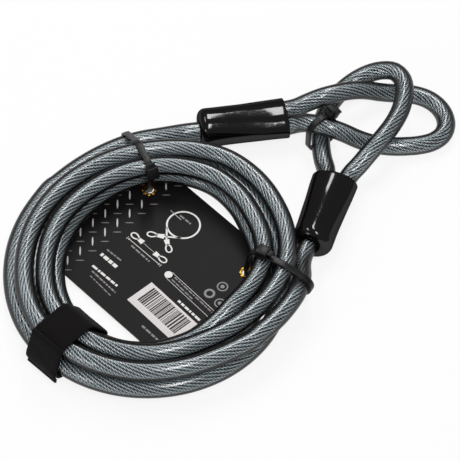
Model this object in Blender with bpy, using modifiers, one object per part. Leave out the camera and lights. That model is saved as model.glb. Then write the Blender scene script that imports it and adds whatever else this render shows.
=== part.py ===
"""Coiled security cable with a looped eye at each end, tied and strapped as sold.

Lengths are in millimetres until scaled by MM. X is to the right, Y is away from the viewer and Z is up.
The origin is under the middle of the bounding box. Route points are chosen by hand, from the coil's centre.
"""

import math

import bmesh
import bpy
import numpy as np

MM = 0.001

# The coil's centre in the part's frame.
COIL_CENTRE = (-42.82, -31.15)

# Cable: a steel rope in a clear jacket.
CABLE_D = 10.0
ROPE_D = 6.0
ROPE_CLEARANCE = 0.3  # between the rope and its jacket
LAYER_GAP = 0.5  # between the coil's two layers
POINTS_PER_LOOP = 24
LEAD_STEP = 7.0  # spacing of route points off the coil
TUBE_SIDES = 6

# Lanes of the coil: radius every 30 degrees, in the order that the cable runs through them.
LANE_ANGLES = 30
LANE_FIRST = 120
LANE_RADII = (
    (78.9, 73.3, 70.6, 70.6, 70.6, 69.4, 68.3, 67.4),
    (66.1, 69.2, 76.4, 75.9, 68.2, 62.3, 59.9, 59.8, 59.8, 58.6, 57.4, 56.2),
    (55.4, 58.0, 65.2, 64.8, 57.1, 51.4, 49.1, 49.1, 49.1, 47.8, 46.4, 48.0),
    (56.2, 59.8, 64.4, 62.2, 57.1, 54.3, 53.7, 56.1, 56.5, 55.7, 54.7, 59.2),
    (67.7, 73.4, 77.8, 73.2, 68.2, 65.1, 64.5, 66.9, 67.2, 66.5, 66.3, 71.0),
)
# The climb from the lower layer to the upper one: angle along the cable, share of the layer height.
CLIMB = ((970, 0.0), (1020, 0.3), (1035, 0.58), (1050, 0.86), (1070, 1.0))

# The two ends: sleeve mouth, direction from the cable end to the mouth, and heights of both ends.
SLEEVE_LENGTH = 46.9
MOUTH_A = (70.9, 101.2)
HEADING_A = 9.4
HEIGHTS_A = (10.5, 10.4)
MOUTH_B = (95.6, 60.6)
HEADING_B = 71.9
HEIGHTS_B = (10.5, 8.0)

# Sleeve: round at the cable end, oval at the mouth.
SLEEVE_ROUND_R = 10.3
SLEEVE_MOUTH_HALF_W = 12.3
SLEEVE_MOUTH_HALF_H = 7.9
SLEEVE_WALL = 1.2
SLEEVE_SHOULDER = 3.2
SLEEVE_WAIST = 0.35  # how much narrower the sleeve is half-way
SLEEVE_RIM = 0.5  # the mouth's rounded edge
SLEEVE_SIDES = 28
SLEEVE_STATIONS = 6
HOLE_CLEARANCE = 0.3
LEG_SPACING = 10.8  # between the two legs of an eye at the mouth
LEG_STRAIGHT = 3.5  # how far a leg runs straight past the mouth
ENTRY_STRAIGHT = 11.0  # how far the cable runs straight outside the sleeve

# Ferrule: two bores side by side.
FERRULE_LENGTH = 22.0
FERRULE_START = 13.3
FERRULE_HALF_W = 8.6
FERRULE_HALF_H = 5.0
BORE_SPACING = 7.6
BORE_CLEARANCE = 0.4
BORE_SIDES = 20
ROPE_PAST_BORE = 0.8  # how far the rope stays straight past a bore
DEAD_END_IN = 1.5  # how far inside the ferrule the rope's end lies
FERRULE_BEVEL = 1.2
JACKET_CUT_IN = 5.5  # how far the coil's jacket reaches into a sleeve
JACKET_CUT_OUT = 7.5  # how far an eye's jackets reach into a sleeve

# Eyes: points from the far leg round to the near leg, off the mouth.
EYE_A = (
    (79.3, 108.3, 12.4), (88.2, 110.3, 15.8), (98.2, 113.4, 16.4), (106.9, 116.6, 14.9),
    (115.1, 119.3, 11.6), (122.3, 121.1, 7.9), (129.2, 122.2, 5.8), (136.3, 122.2, 5.3),
    (143.2, 120.6, 5.3), (149.8, 116.8, 5.3), (154.7, 110.2, 5.3), (156.5, 101.8, 5.3),
    (154.1, 94.0, 5.3), (147.6, 88.7, 5.3), (139.6, 86.6, 5.3), (131.0, 86.0, 5.3),
    (123.8, 86.2, 5.4), (116.1, 86.6, 6.9), (108.2, 86.8, 10.6), (99.4, 87.4, 15.8),
    (91.4, 89.1, 17.8), (84.2, 92.1, 17.0), (78.0, 95.0, 13.8),
)
EYE_B = (
    (90.9, 69.4, 7.3), (89.5, 78.4, 7.1), (89.1, 88.4, 7.0), (90.0, 98.9, 6.4),
    (92.5, 108.6, 5.5), (96.5, 117.0, 5.3), (102.0, 124.1, 5.8), (108.4, 129.0, 7.6),
    (115.2, 131.5, 10.4), (121.9, 131.5, 13.4), (127.8, 129.8, 15.7), (131.8, 126.2, 16.6),
    (133.9, 120.8, 16.8), (134.1, 113.8, 16.8), (132.1, 103.8, 16.7), (127.7, 93.5, 16.7),
    (121.4, 83.6, 16.5), (113.6, 74.2, 14.3), (106.4, 67.0, 9.8),
)

# Card with a brass eyelet near two of its corners.
CARD_SIZE = (85.0, 96.0)
CARD_THICK = 0.5
CARD_BOTTOM = 2.2
CARD_CENTRE = (4.2, 14.0)
CARD_TURN = 43.0
CARD_CORNER_R = 1.5
EYELET_ALONG = 26.4
EYELET_ACROSS = 36.6
EYELET_HOLE_R = 2.5
EYELET_BARREL_R = 2.9
EYELET_FLANGE_R = 4.35
EYELET_NOTCH_R = 3.5
EYELET_THICK = 0.4
EYELET_PETALS = 8

# Ties: a band round the bundle through a head, with a cut-off tail.
BAND_W = 3.6
BAND_T = 1.2
HEAD_SIZE = (6.4, 6.0, 4.6)
HEAD_SINK = 0.7  # how far the head's underside lies below the band's outer face
STUB_LENGTH = 2.4
STUB_SINK = 0.6
TIE_GAP = 0.3
TOP_TIE_TURN = 112.0
SIDE_TIE_TURN = -31.0
EYE_TIE_CENTRE = (89.5, 90.9)
EYE_TIE_TURN = 36.0
TOP_TIE_HEAD = (-1.0, 21.0)  # near which point of the band the head sits
SIDE_TIE_HEAD = (8.0, 24.0)
EYE_TIE_HEAD = (5.0, 22.0)
TIE_SIDES = 34
CARD_RUN = 14.5  # how far a tie runs under the card

# Strap of hook-and-loop tape.
STRAP_W = 20.0
STRAP_T = 1.2
STRAP_TURN = 225.0
STRAP_GAP = 0.45
STRAP_SIDES = 40
TAIL_GAP = 0.3
TAIL_DEPTH = 9.0  # the outer stretch of the bundle that the tail lies on
TAIL_TOP = 1.5  # how far below the crest the tail starts
TAIL_FLOOR = 4.6
TAIL_TIP = ((-0.6, -1.9), (-0.2, -3.6))
TAIL_SPACING = 2.0

GAP = 0.3  # between pieces that touch

# The centre of the coil's lower layer, which lies on the card, and the step up to the upper one.
BOTTOM_HEIGHT = CARD_BOTTOM + CARD_THICK + GAP + CABLE_D / 2
LAYER_HEIGHT = CABLE_D + LAYER_GAP


def clear_scene():
    for obj in list(bpy.data.objects):
        bpy.data.objects.remove(obj)


def new_collection(name):
    made = bpy.data.collections.new(name)
    bpy.context.scene.collection.children.link(made)
    return made


def principled(name, colour, roughness, metallic=0.0, alpha=1.0):
    made = bpy.data.materials.new(name)
    made.use_nodes = True
    shader = next(n for n in made.node_tree.nodes if n.type == "BSDF_PRINCIPLED")
    shader.inputs["Base Color"].default_value = (*colour, 1.0)
    shader.inputs["Roughness"].default_value = roughness
    shader.inputs["Metallic"].default_value = metallic
    shader.inputs["Alpha"].default_value = alpha
    return made


def place(point):
    """A route point in the part's frame, in metres."""
    x, y, z = point
    return ((x + COIL_CENTRE[0]) * MM, (y + COIL_CENTRE[1]) * MM, z * MM)


def add_mesh(name, points, faces, collection, material=None):
    mesh = bpy.data.meshes.new(name)
    mesh.from_pydata([place(p) for p in points], [], faces)
    editable = bmesh.new()
    editable.from_mesh(mesh)
    bmesh.ops.recalc_face_normals(editable, faces=editable.faces)
    editable.to_mesh(mesh)
    editable.free()
    obj = bpy.data.objects.new(name, mesh)
    if material:
        mesh.materials.append(material)
    collection.objects.link(obj)
    return obj


def add_cutter(name, points, faces, collection):
    obj = add_mesh(name, points, faces, collection)
    obj.hide_render = True
    obj.display_type = "WIRE"
    return obj


def boolean(obj, other, operation):
    made = obj.modifiers.new(other.name, "BOOLEAN")
    made.operation = operation
    made.solver = "EXACT"
    made.object = other


def unit(vector):
    return np.asarray(vector, float) / np.linalg.norm(vector)


def heading(degrees):
    return np.array([math.cos(math.radians(degrees)), math.sin(math.radians(degrees)), 0.0])


def between(a, b, c, d, t):
    """The smooth curve through a, b, c and d, at a share t of the way from b to c."""
    return 0.5 * (2 * b + (c - a) * t + (2 * a - 5 * b + 4 * c - d) * t**2 + (3 * b - a - 3 * c + d) * t**3)


def spline(knots, step):
    """Points at an even spacing on a smooth curve through the knots."""
    knots = np.asarray(knots, float)
    padded = np.vstack([2 * knots[0] - knots[1], knots, 2 * knots[-1] - knots[-2]])
    dense = []
    for a, b, c, d in zip(padded, padded[1:], padded[2:], padded[3:]):
        for t in np.linspace(0, 1, 12, endpoint=False):
            dense.append(between(a, b, c, d, t))
    dense.append(knots[-1])
    return resample(np.array(dense), step)


def resample(points, step):
    run = np.concatenate([[0], np.cumsum(np.linalg.norm(np.diff(points, axis=0), axis=1))])
    at = np.linspace(0, run[-1], max(2, round(run[-1] / step) + 1))
    return np.stack([np.interp(at, run, points[:, i]) for i in range(3)], axis=1)


def length_of(points):
    return float(np.linalg.norm(np.diff(points, axis=0), axis=1).sum())


def coil_points():
    """The coil's centre line, from where it joins the first lane to where it leaves the last."""
    radii = [r for lane in LANE_RADII for r in lane]
    angles = [LANE_FIRST + LANE_ANGLES * i for i in range(len(radii))]
    step = 360 // POINTS_PER_LOOP
    points = []
    for angle in range(LANE_FIRST, angles[-1] + 1, step):
        i = min((angle - LANE_FIRST) // LANE_ANGLES, len(radii) - 2)
        t = (angle - angles[i]) / LANE_ANGLES
        radius = between(*(radii[min(max(i + k, 0), len(radii) - 1)] for k in (-1, 0, 1, 2)), t)
        lift = np.interp(angle, [p[0] for p in CLIMB], [p[1] for p in CLIMB])
        x, y, _ = heading(angle) * radius
        points.append((x, y, BOTTOM_HEIGHT + LAYER_HEIGHT * lift))
    return np.array(points)


class End:
    """A sleeve, its ferrule and its eye, along one axis."""

    def __init__(self, mouth, turn, heights, eye, main_side, hole_offset):
        self.along = unit((*(heading(turn)[:2] * SLEEVE_LENGTH), heights[1] - heights[0]))
        self.mouth = np.array([*mouth, heights[1]])
        self.across = heading(turn + 90)
        self.up = np.cross(self.along, self.across)
        self.start = self.mouth - self.along * SLEEVE_LENGTH
        self.eye = eye
        self.main_side = main_side
        self.hole_offset = hole_offset

    def at(self, along, across=0.0, up=0.0):
        return self.start + self.along * along + self.across * across + self.up * up

    def leg(self, side):
        """Route points of one leg, from the mouth back to the ferrule."""
        return [
            self.at(SLEEVE_LENGTH + LEG_STRAIGHT, side * LEG_SPACING / 2),
            self.at(SLEEVE_LENGTH - JACKET_CUT_OUT, side * LEG_SPACING / 2),
        ]

    def bore(self, side, last):
        """Route points of the rope in one bore, from the mouth's side to a last point."""
        first = FERRULE_START + FERRULE_LENGTH + ROPE_PAST_BORE
        return [self.at(s, side * BORE_SPACING / 2) for s in (first, (first + last) / 2, last)]

    def eye_line(self):
        """The eye's centre line from far leg to near leg."""
        return spline([*self.leg(1)[::-1], *self.eye, *self.leg(-1)], LEAD_STEP)

    def rope_out(self):
        """The rope from the coil's side through the ferrule, round the eye and back to its dead end."""
        main = self.bore(self.main_side, FERRULE_START - ROPE_PAST_BORE)
        dead = self.bore(-self.main_side, FERRULE_START + DEAD_END_IN)
        eye = self.eye_line()
        return np.vstack([main[::-1], eye if self.main_side > 0 else eye[::-1], dead])

    def entry(self):
        """Points where the cable enters the sleeve, from outside in."""
        return [self.at(s, self.hole_offset) for s in (-ENTRY_STRAIGHT, 0.0, JACKET_CUT_IN)]


END_A = End(MOUTH_A, HEADING_A, HEIGHTS_A, EYE_A, -1, -1.5)
END_B = End(MOUTH_B, HEADING_B, HEIGHTS_B, EYE_B, 1, 1.5)
COIL = coil_points()
LEAD_IN = ((7.4, 90.0, 8.9), (-9.0, 86.8, 8.2), (-24.7, 79.3, BOTTOM_HEIGHT))
LEAD_OUT = ((71.2, -20.9, 17.5), (75.6, -7.2, 14.0))


def main_line():
    """The jacketed cable from sleeve to sleeve."""
    head = spline([*reversed([*END_A.entry()]), *LEAD_IN, COIL[0], COIL[1]], LEAD_STEP)
    tail = spline([COIL[-2], COIL[-1], *LEAD_OUT, *END_B.entry()], LEAD_STEP)
    return np.vstack([head[:-1], COIL[1:-2], tail])


def rope_line():
    """The rope from its dead end in one ferrule to its dead end in the other."""
    return np.vstack([END_A.rope_out()[::-1], main_line(), END_B.rope_out()])


def least_gap(points, other=None, skip=34.0):
    """The least distance between two stretches of centre line, less the cable's own width."""
    fine = resample(points, 1.0)
    rest = fine if other is None else resample(other, 1.0)
    least = math.inf
    for i, point in enumerate(fine):
        distance = np.linalg.norm(rest - point, axis=1)
        if other is None:
            distance[max(0, i - int(skip)) : i + int(skip)] = math.inf
        least = min(least, distance.min())
    return least - CABLE_D


def tube(name, points, diameter, collection, material, wall=0.0, resolution=1):
    curve = bpy.data.curves.new(name, "CURVE")
    curve.dimensions = "3D"
    curve.twist_mode = "Z_UP"
    curve.bevel_depth = diameter / 2 * MM
    curve.bevel_resolution = resolution
    curve.use_fill_caps = wall == 0
    line = curve.splines.new("POLY")
    line.points.add(len(points) - 1)
    for slot, point in zip(line.points, points):
        slot.co = (*place(point), 1.0)
    obj = bpy.data.objects.new(name, curve)
    curve.materials.append(material)
    collection.objects.link(obj)
    if wall:
        solid = obj.modifiers.new("wall", "SOLIDIFY")
        solid.thickness = wall * MM
        solid.offset = -1
        solid.use_even_offset = True
    return obj


def oval(end, along, half_w, half_h, across=0.0, sides=SLEEVE_SIDES):
    return [
        end.at(along, across + half_w * math.cos(t), half_h * math.sin(t))
        for t in np.arange(sides) * 2 * math.pi / sides
    ]


def ring_faces(rings, sides, closed):
    faces = []
    for i in range(rings if closed else rings - 1):
        a, b = i * sides, (i + 1) % rings * sides
        for k in range(sides):
            n = (k + 1) % sides
            faces.append((a + k, a + n, b + n, b + k))
    return faces


def sleeve(name, end, collection, material):
    """One skin out from the hole over the shoulder to the mouth and back inside."""

    def size(along):
        t = min(max(along / SLEEVE_LENGTH, 0.0), 1.0)
        t = t * t * (3 - 2 * t)
        waist = SLEEVE_WAIST * math.sin(math.pi * along / SLEEVE_LENGTH)
        return (
            SLEEVE_ROUND_R + (SLEEVE_MOUTH_HALF_W - SLEEVE_ROUND_R) * t - waist,
            SLEEVE_ROUND_R + (SLEEVE_MOUTH_HALF_H - SLEEVE_ROUND_R) * t - waist,
        )

    hole = CABLE_D / 2 + HOLE_CLEARANCE
    outer, inner = [], []
    for t in (20, 45, 70, 90):
        pull = SLEEVE_SHOULDER * (1 - math.sin(math.radians(t)))
        along = SLEEVE_SHOULDER * (1 - math.cos(math.radians(t)))
        w, h = size(along)
        outer.append((along, w - pull, h - pull, 0.0))
    for along in np.linspace(SLEEVE_SHOULDER, SLEEVE_LENGTH - SLEEVE_RIM, SLEEVE_STATIONS + 1)[1:]:
        outer.append((along, *size(along), 0.0))
    w, h = size(SLEEVE_LENGTH)
    outer.append((SLEEVE_LENGTH, w - SLEEVE_RIM, h - SLEEVE_RIM, 0.0))
    for along in np.linspace(SLEEVE_LENGTH, SLEEVE_SHOULDER + SLEEVE_WALL, SLEEVE_STATIONS + 1):
        w, h = size(along)
        inner.append((along, w - SLEEVE_WALL, h - SLEEVE_WALL, 0.0))
    w, h = size(SLEEVE_SHOULDER)
    pull = SLEEVE_WALL + 0.7 * SLEEVE_SHOULDER
    inner.append((SLEEVE_WALL + 0.12 * SLEEVE_SHOULDER, w - pull, h - pull, 0.0))
    rims = [(SLEEVE_WALL, hole, hole, end.hole_offset), (0.0, hole, hole, end.hole_offset)]
    profile = outer + inner + rims
    points = [p for row in profile for p in oval(end, *row)]
    return add_mesh(name, points, ring_faces(len(profile), SLEEVE_SIDES, True), collection, material)


def ferrule(name, end, collection, material, cutters):
    first, last = FERRULE_START, FERRULE_START + FERRULE_LENGTH
    narrow = (FERRULE_HALF_W - FERRULE_BEVEL / 2, FERRULE_HALF_H - FERRULE_BEVEL / 2)
    wide = (FERRULE_HALF_W, FERRULE_HALF_H)
    profile = [(first, *narrow), (first + FERRULE_BEVEL, *wide)]
    profile += [(last - FERRULE_BEVEL, *wide), (last, *narrow)]
    points = [p for along, w, h in profile for p in oval(end, along, w, h)]
    faces = ring_faces(len(profile), SLEEVE_SIDES, False)
    faces += [tuple(range(SLEEVE_SIDES)), tuple(range(len(points) - SLEEVE_SIDES, len(points)))]
    obj = add_mesh(name, points, faces, collection, material)
    bore = ROPE_D / 2 + BORE_CLEARANCE
    for side in (-1, 1):
        points = [
            p
            for along in (first - bore, last + bore)
            for p in oval(end, along, bore, bore, side * BORE_SPACING / 2, sides=BORE_SIDES)
        ]
        faces = ring_faces(2, BORE_SIDES, False)
        faces += [tuple(range(BORE_SIDES)), tuple(range(BORE_SIDES, 2 * BORE_SIDES))]
        boolean(obj, add_cutter(f"{name}_bore_{side + 1}", points, faces, cutters), "DIFFERENCE")
    return obj


def card_point(along, across, z):
    u, v = heading(CARD_TURN), heading(CARD_TURN - 90)
    x, y, _ = u * along + v * across
    return (CARD_CENTRE[0] + x, CARD_CENTRE[1] + y, z)


def card(collection, material, cutters):
    half_u, half_v = CARD_SIZE[0] / 2 - CARD_CORNER_R, CARD_SIZE[1] / 2 - CARD_CORNER_R
    outline = []
    for corner, (su, sv) in enumerate(((1, 1), (-1, 1), (-1, -1), (1, -1))):
        for k in range(4):
            t = math.radians(90 * corner + 30 * k)
            u, v = CARD_CORNER_R * math.cos(t), CARD_CORNER_R * math.sin(t)
            outline.append((su * half_u + u, sv * half_v + v))
    n = len(outline)
    points = [card_point(u, v, z) for z in (CARD_BOTTOM, CARD_BOTTOM + CARD_THICK) for u, v in outline]
    faces = ring_faces(2, n, False) + [tuple(range(n)), tuple(range(n, 2 * n))]
    obj = add_mesh("card", points, faces, collection, material)
    hole = EYELET_BARREL_R + GAP
    for side in (-1, 1):
        points = [
            card_point(
                EYELET_ALONG + hole * math.cos(t), side * EYELET_ACROSS + hole * math.sin(t), z
            )
            for z in (CARD_BOTTOM - 2, CARD_BOTTOM + 2)
            for t in np.arange(24) * math.pi / 12
        ]
        faces = ring_faces(2, 24, False) + [tuple(range(24)), tuple(range(24, 48))]
        boolean(obj, add_cutter(f"card_hole_{side + 1}", points, faces, cutters), "DIFFERENCE")
    return obj


def eyelet(name, side, collection, material):
    """A barrel with a flat flange below the card and a flange split into petals above it."""
    sides = 4 * EYELET_PETALS
    top = CARD_BOTTOM + CARD_THICK + GAP
    bottom = CARD_BOTTOM - GAP
    petals = [EYELET_NOTCH_R if k % 4 == 0 else EYELET_FLANGE_R for k in range(sides)]
    flange = [EYELET_FLANGE_R] * sides
    barrel = [EYELET_BARREL_R] * sides
    hole = [EYELET_HOLE_R] * sides
    profile = [
        (bottom - EYELET_THICK, hole),
        (bottom - EYELET_THICK, flange),
        (bottom, flange),
        (bottom, barrel),
        (top, barrel),
        (top, petals),
        (top + EYELET_THICK * 0.6, petals),
        (top + EYELET_THICK, hole),
    ]
    points = []
    for z, radii in profile:
        for k, radius in enumerate(radii):
            t = 2 * math.pi * k / sides
            u, v = radius * math.cos(t), radius * math.sin(t)
            points.append(card_point(EYELET_ALONG + u, side * EYELET_ACROSS + v, z))
    return add_mesh(name, points, ring_faces(len(profile), sides, True), collection, material)


def hull(points):
    """The convex hull of 2-D points, counter-clockwise."""
    points = sorted(map(tuple, np.round(points, 4)))

    def half(run):
        kept = []
        for p in run:
            while len(kept) > 1 and np.cross(np.subtract(kept[-1], kept[-2]), np.subtract(p, kept[-1])) <= 0:
                kept.pop()
            kept.append(p)
        return kept[:-1]

    return np.array(half(points) + half(points[::-1]))


def section(lines, centre, turn, half_width, inner, outer=math.inf):
    """Points of the tubes' outlines that a slab across the lines holds, from inner to outer."""
    out, across = heading(turn)[:2], heading(turn + 90)[:2]
    found = []
    for line in lines:
        fine = resample(line, 0.5)
        offset = (fine[:, :2] - centre) @ across
        for i in np.nonzero(np.abs(offset) < half_width + CABLE_D / 2)[0]:
            reach = CABLE_D / 2
            tangent = unit(fine[min(i + 1, len(fine) - 1)] - fine[max(i - 1, 0)])
            side = unit(np.cross(tangent, (0, 0, 1)))
            top = np.cross(side, tangent)
            for t in np.arange(24) * math.pi / 12:
                p = fine[i] + reach * (side * math.cos(t) + top * math.sin(t))
                s = (p[:2] - centre) @ out
                if abs((p[:2] - centre) @ across) <= half_width and inner < s < outer:
                    found.append((s, p[2]))
    return np.array(found)


def grown(points, reach):
    """The convex outline of points at a distance, as a closed path."""
    circle = [(reach * math.cos(t), reach * math.sin(t)) for t in np.arange(24) * math.pi / 12]
    return hull((hull(points)[:, None, :] + np.array(circle)[None]).reshape(-1, 2))


def closed_path(outline, count):
    run = np.vstack([outline, outline[:1]])
    lengths = np.concatenate([[0], np.cumsum(np.linalg.norm(np.diff(run, axis=0), axis=1))])
    at = np.linspace(0, lengths[-1], count, endpoint=False)
    return np.stack([np.interp(at, lengths, run[:, i]) for i in range(2)], axis=1)


def band_mesh(path, centre, turn, width, thick, closed=True):
    """A flat band along a path in an upright plane."""
    out, across = heading(turn), heading(turn + 90)
    n = len(path)
    points = []
    for i in range(n):
        if closed:
            before, after = path[i - 1], path[(i + 1) % n]
        else:
            before, after = path[max(i - 1, 0)], path[min(i + 1, n - 1)]
        along = unit(after - before)
        normal = np.array([along[1], -along[0]])
        for sx, sn in ((-1, -1), (1, -1), (1, 1), (-1, 1)):
            s, z = path[i] + normal * sn * thick / 2
            x, y, _ = np.array([*centre, 0.0]) + out * s + across * sx * width / 2
            points.append((x, y, z))
    faces = ring_faces(n, 4, closed)
    if not closed:
        faces += [(0, 1, 2, 3), tuple(range(4 * n - 4, 4 * n))]
    return points, faces


def box_at(centre, turn, path_point, tangent, size, shift):
    """A box set on a band: size along the band, across it and off it, shifted along and off."""
    out, across = heading(turn), heading(turn + 90)
    tangent = unit(tangent)
    normal = np.array([tangent[1], -tangent[0]])
    points = []
    for a, w, n in [(a, w, n) for n in (-1, 1) for w in (-1, 1) for a in (-1, 1)]:
        s, z = (
            path_point
            + tangent * (a * size[0] / 2 + shift[0])
            + normal * (n * size[2] / 2 + shift[1])
        )
        x, y, _ = np.array([*centre, 0.0]) + out * s + across * w * size[1] / 2
        points.append((x, y, z))
    faces = [(0, 1, 3, 2), (4, 6, 7, 5), (0, 4, 5, 1), (2, 3, 7, 6), (0, 2, 6, 4), (1, 5, 7, 3)]
    return points, faces


def tie(name, lines, centre, turn, reach, head_at, extra, collection, material, cutters):
    """A band round the lines in an upright plane, with its head at the path point nearest head_at."""
    points = section(lines, np.array(centre), turn, BAND_W / 2 + GAP, *reach)
    if extra:
        points = np.vstack([points, extra])
    path = closed_path(grown(points, TIE_GAP + BAND_T / 2), TIE_SIDES)
    mesh, faces = band_mesh(path, centre, turn, BAND_W, BAND_T)
    obj = add_mesh(name, mesh, faces, collection, material)
    i = int(np.argmin(np.linalg.norm(path - np.array(head_at), axis=1)))
    tangent = path[(i + 1) % TIE_SIDES] - path[i - 1]
    outer = BAND_T / 2 - HEAD_SINK
    lift = HEAD_SIZE[2] / 2 + outer
    head = add_cutter(f"{name}_head", *box_at(centre, turn, path[i], tangent, HEAD_SIZE, (0, lift)), cutters)
    boolean(obj, head, "UNION")
    size = (STUB_LENGTH + HEAD_SIZE[0] / 2, BAND_W, BAND_T)
    shift = (-size[0] / 2, HEAD_SIZE[2] + outer - STUB_SINK - BAND_T / 2)
    stub = add_cutter(f"{name}_stub", *box_at(centre, turn, path[i], tangent, size, shift), cutters)
    boolean(obj, stub, "UNION")
    print(f"{name}: head at {np.round(path[i], 1)}, band length {length_of(path):.1f} mm")
    return obj


def strap(lines, collection, material):
    centre = np.zeros(2)
    points = section(lines, centre, STRAP_TURN, STRAP_W / 2 + GAP, 0.0)
    path = closed_path(grown(points, STRAP_GAP + STRAP_T / 2), STRAP_SIDES)
    add_mesh(
        "strap_band", *band_mesh(path, centre, STRAP_TURN, STRAP_W, STRAP_T), collection, material
    )
    outer = closed_path(grown(points, STRAP_GAP + STRAP_T * 1.5 + TAIL_GAP), 2 * STRAP_SIDES)
    far, top = outer.max(axis=0)
    kept = [p for p in outer if p[0] > far - TAIL_DEPTH and TAIL_FLOOR < p[1] < top - TAIL_TOP]
    kept.sort(key=lambda p: -p[1])
    run = np.array(kept + [kept[-1] + np.array(step) for step in TAIL_TIP])
    run = resample(np.c_[run, run[:, :1] * 0], TAIL_SPACING)[:, :2]
    add_mesh(
        "strap_tail", *band_mesh(run, centre, STRAP_TURN, STRAP_W, STRAP_T, False), collection, material
    )
    print("strap tail hinge", np.round(run[0], 2), "tip", np.round(run[-1], 2))


def build():
    clear_scene()
    parts, cutters = new_collection("parts"), new_collection("cutters")
    clear_vinyl = principled("clear_jacket", (0.16, 0.19, 0.20), 0.12, alpha=0.4)
    steel = principled("wire_rope", (0.55, 0.58, 0.60), 0.35, metallic=1.0)
    alloy = principled("ferrule_alloy", (0.70, 0.70, 0.70), 0.4, metallic=1.0)
    black_vinyl = principled("black_vinyl", (0.012, 0.010, 0.012), 0.15)
    nylon = principled("black_nylon", (0.02, 0.018, 0.02), 0.4)
    tape = principled("strap_tape", (0.012, 0.011, 0.012), 0.9)
    board = principled("card_board", (0.02, 0.018, 0.02), 0.5)
    brass = principled("eyelet_brass", (0.65, 0.42, 0.12), 0.3, metallic=1.0)

    main = main_line()
    rope = rope_line()
    eyes = [end.eye_line() for end in (END_A, END_B)]
    wall = ((CABLE_D - ROPE_D) / 2 - ROPE_CLEARANCE) * math.cos(math.pi / TUBE_SIDES)
    tube("coil_jacket", main, CABLE_D, parts, clear_vinyl, wall=wall)
    tube("eye_a_jacket", eyes[0], CABLE_D, parts, clear_vinyl, wall=wall)
    tube("eye_b_jacket", eyes[1], CABLE_D, parts, clear_vinyl, wall=wall)
    tube("wire_rope", rope, ROPE_D, parts, steel)
    for name, end in (("a", END_A), ("b", END_B)):
        sleeve(f"sleeve_{name}", end, parts, black_vinyl)
        ferrule(f"ferrule_{name}", end, parts, alloy, cutters)
    card(parts, board, cutters)
    eyelet("eyelet_top", -1, parts, brass)
    eyelet("eyelet_side", 1, parts, brass)

    below = CARD_BOTTOM - GAP - EYELET_THICK
    reach = BAND_T / 2 + TIE_GAP
    under_card = [(reach, below), (reach, CARD_BOTTOM + GAP), (CARD_RUN, below)]
    top_hole = card_point(EYELET_ALONG, -EYELET_ACROSS, 0)[:2]
    side_hole = card_point(EYELET_ALONG, EYELET_ACROSS, 0)[:2]
    made = (parts, nylon, cutters)
    outwards = (-CABLE_D, math.inf)
    crossing = (-1.3 * CABLE_D, 1.3 * CABLE_D)
    tie("top_tie", [main], top_hole, TOP_TIE_TURN, outwards, TOP_TIE_HEAD, under_card, *made)
    tie("side_tie", [main], side_hole, SIDE_TIE_TURN, outwards, SIDE_TIE_HEAD, under_card, *made)
    tie("eye_tie", eyes, EYE_TIE_CENTRE, EYE_TIE_TURN, crossing, EYE_TIE_HEAD, [], *made)
    strap([main], parts, tape)

    ends = zip(eyes, (END_A, END_B))
    far = [np.linalg.norm((line - end.mouth)[:, :2], axis=1).max() for line, end in ends]
    straight = length_of(main) - 2 * JACKET_CUT_IN + 2 * SLEEVE_LENGTH + sum(far) + CABLE_D
    print(f"cable from sleeve to sleeve {length_of(main):.0f} mm, eyes {far[0]:.1f} and {far[1]:.1f} mm")
    print(f"overall length when laid out {straight:.0f} mm, rope {length_of(rope):.0f} mm")
    gaps = [least_gap(line) for line in (main, *eyes)]
    print(f"least gap: coil {gaps[0]:.2f}, eye a {gaps[1]:.2f}, eye b {gaps[2]:.2f}")
    print(f"least gap: eyes {least_gap(*eyes):.2f}, coil to eyes {least_gap(main, np.vstack(eyes)):.2f}")


build()
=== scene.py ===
"""Finished look of a coiled steel security cable with a looped eye at each end, tied and strapped as sold."""

import math
import random

import bmesh
import bpy
import numpy as np
from bpy.props import FloatProperty, FloatVectorProperty, IntProperty, PointerProperty
from mathutils import Matrix, Vector


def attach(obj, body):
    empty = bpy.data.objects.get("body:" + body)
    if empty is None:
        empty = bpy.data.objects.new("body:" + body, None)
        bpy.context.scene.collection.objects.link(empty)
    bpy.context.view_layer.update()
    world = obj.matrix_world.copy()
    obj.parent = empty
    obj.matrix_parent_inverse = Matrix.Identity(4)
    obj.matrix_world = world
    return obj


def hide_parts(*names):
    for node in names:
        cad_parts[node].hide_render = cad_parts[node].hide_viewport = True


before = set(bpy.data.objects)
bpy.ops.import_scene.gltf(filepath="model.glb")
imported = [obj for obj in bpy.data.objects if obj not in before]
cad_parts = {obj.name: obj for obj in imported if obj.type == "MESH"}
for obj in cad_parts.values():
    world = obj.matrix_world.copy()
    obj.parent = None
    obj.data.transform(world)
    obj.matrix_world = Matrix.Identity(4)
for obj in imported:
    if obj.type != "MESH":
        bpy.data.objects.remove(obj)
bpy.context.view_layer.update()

bl_info = {
    "name": "Looped-End Security Cable",
    "version": (1, 0, 0),
    "blender": (4, 5, 0),
    "location": "3D View > Sidebar > Cable",
    "description": "Builds the cable, its sleeves, ties, strap and card over the packed model, and its stage",
    "category": "Object",
}

MM = 0.001
BODY = "cable"
TAIL_BODY = "tail"
UP = np.array([0.0, 0.0, 1.0])

# ---- Sizes, in millimetres ----
# The routes repeat the CAD's, read from the coil's centre.

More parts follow.
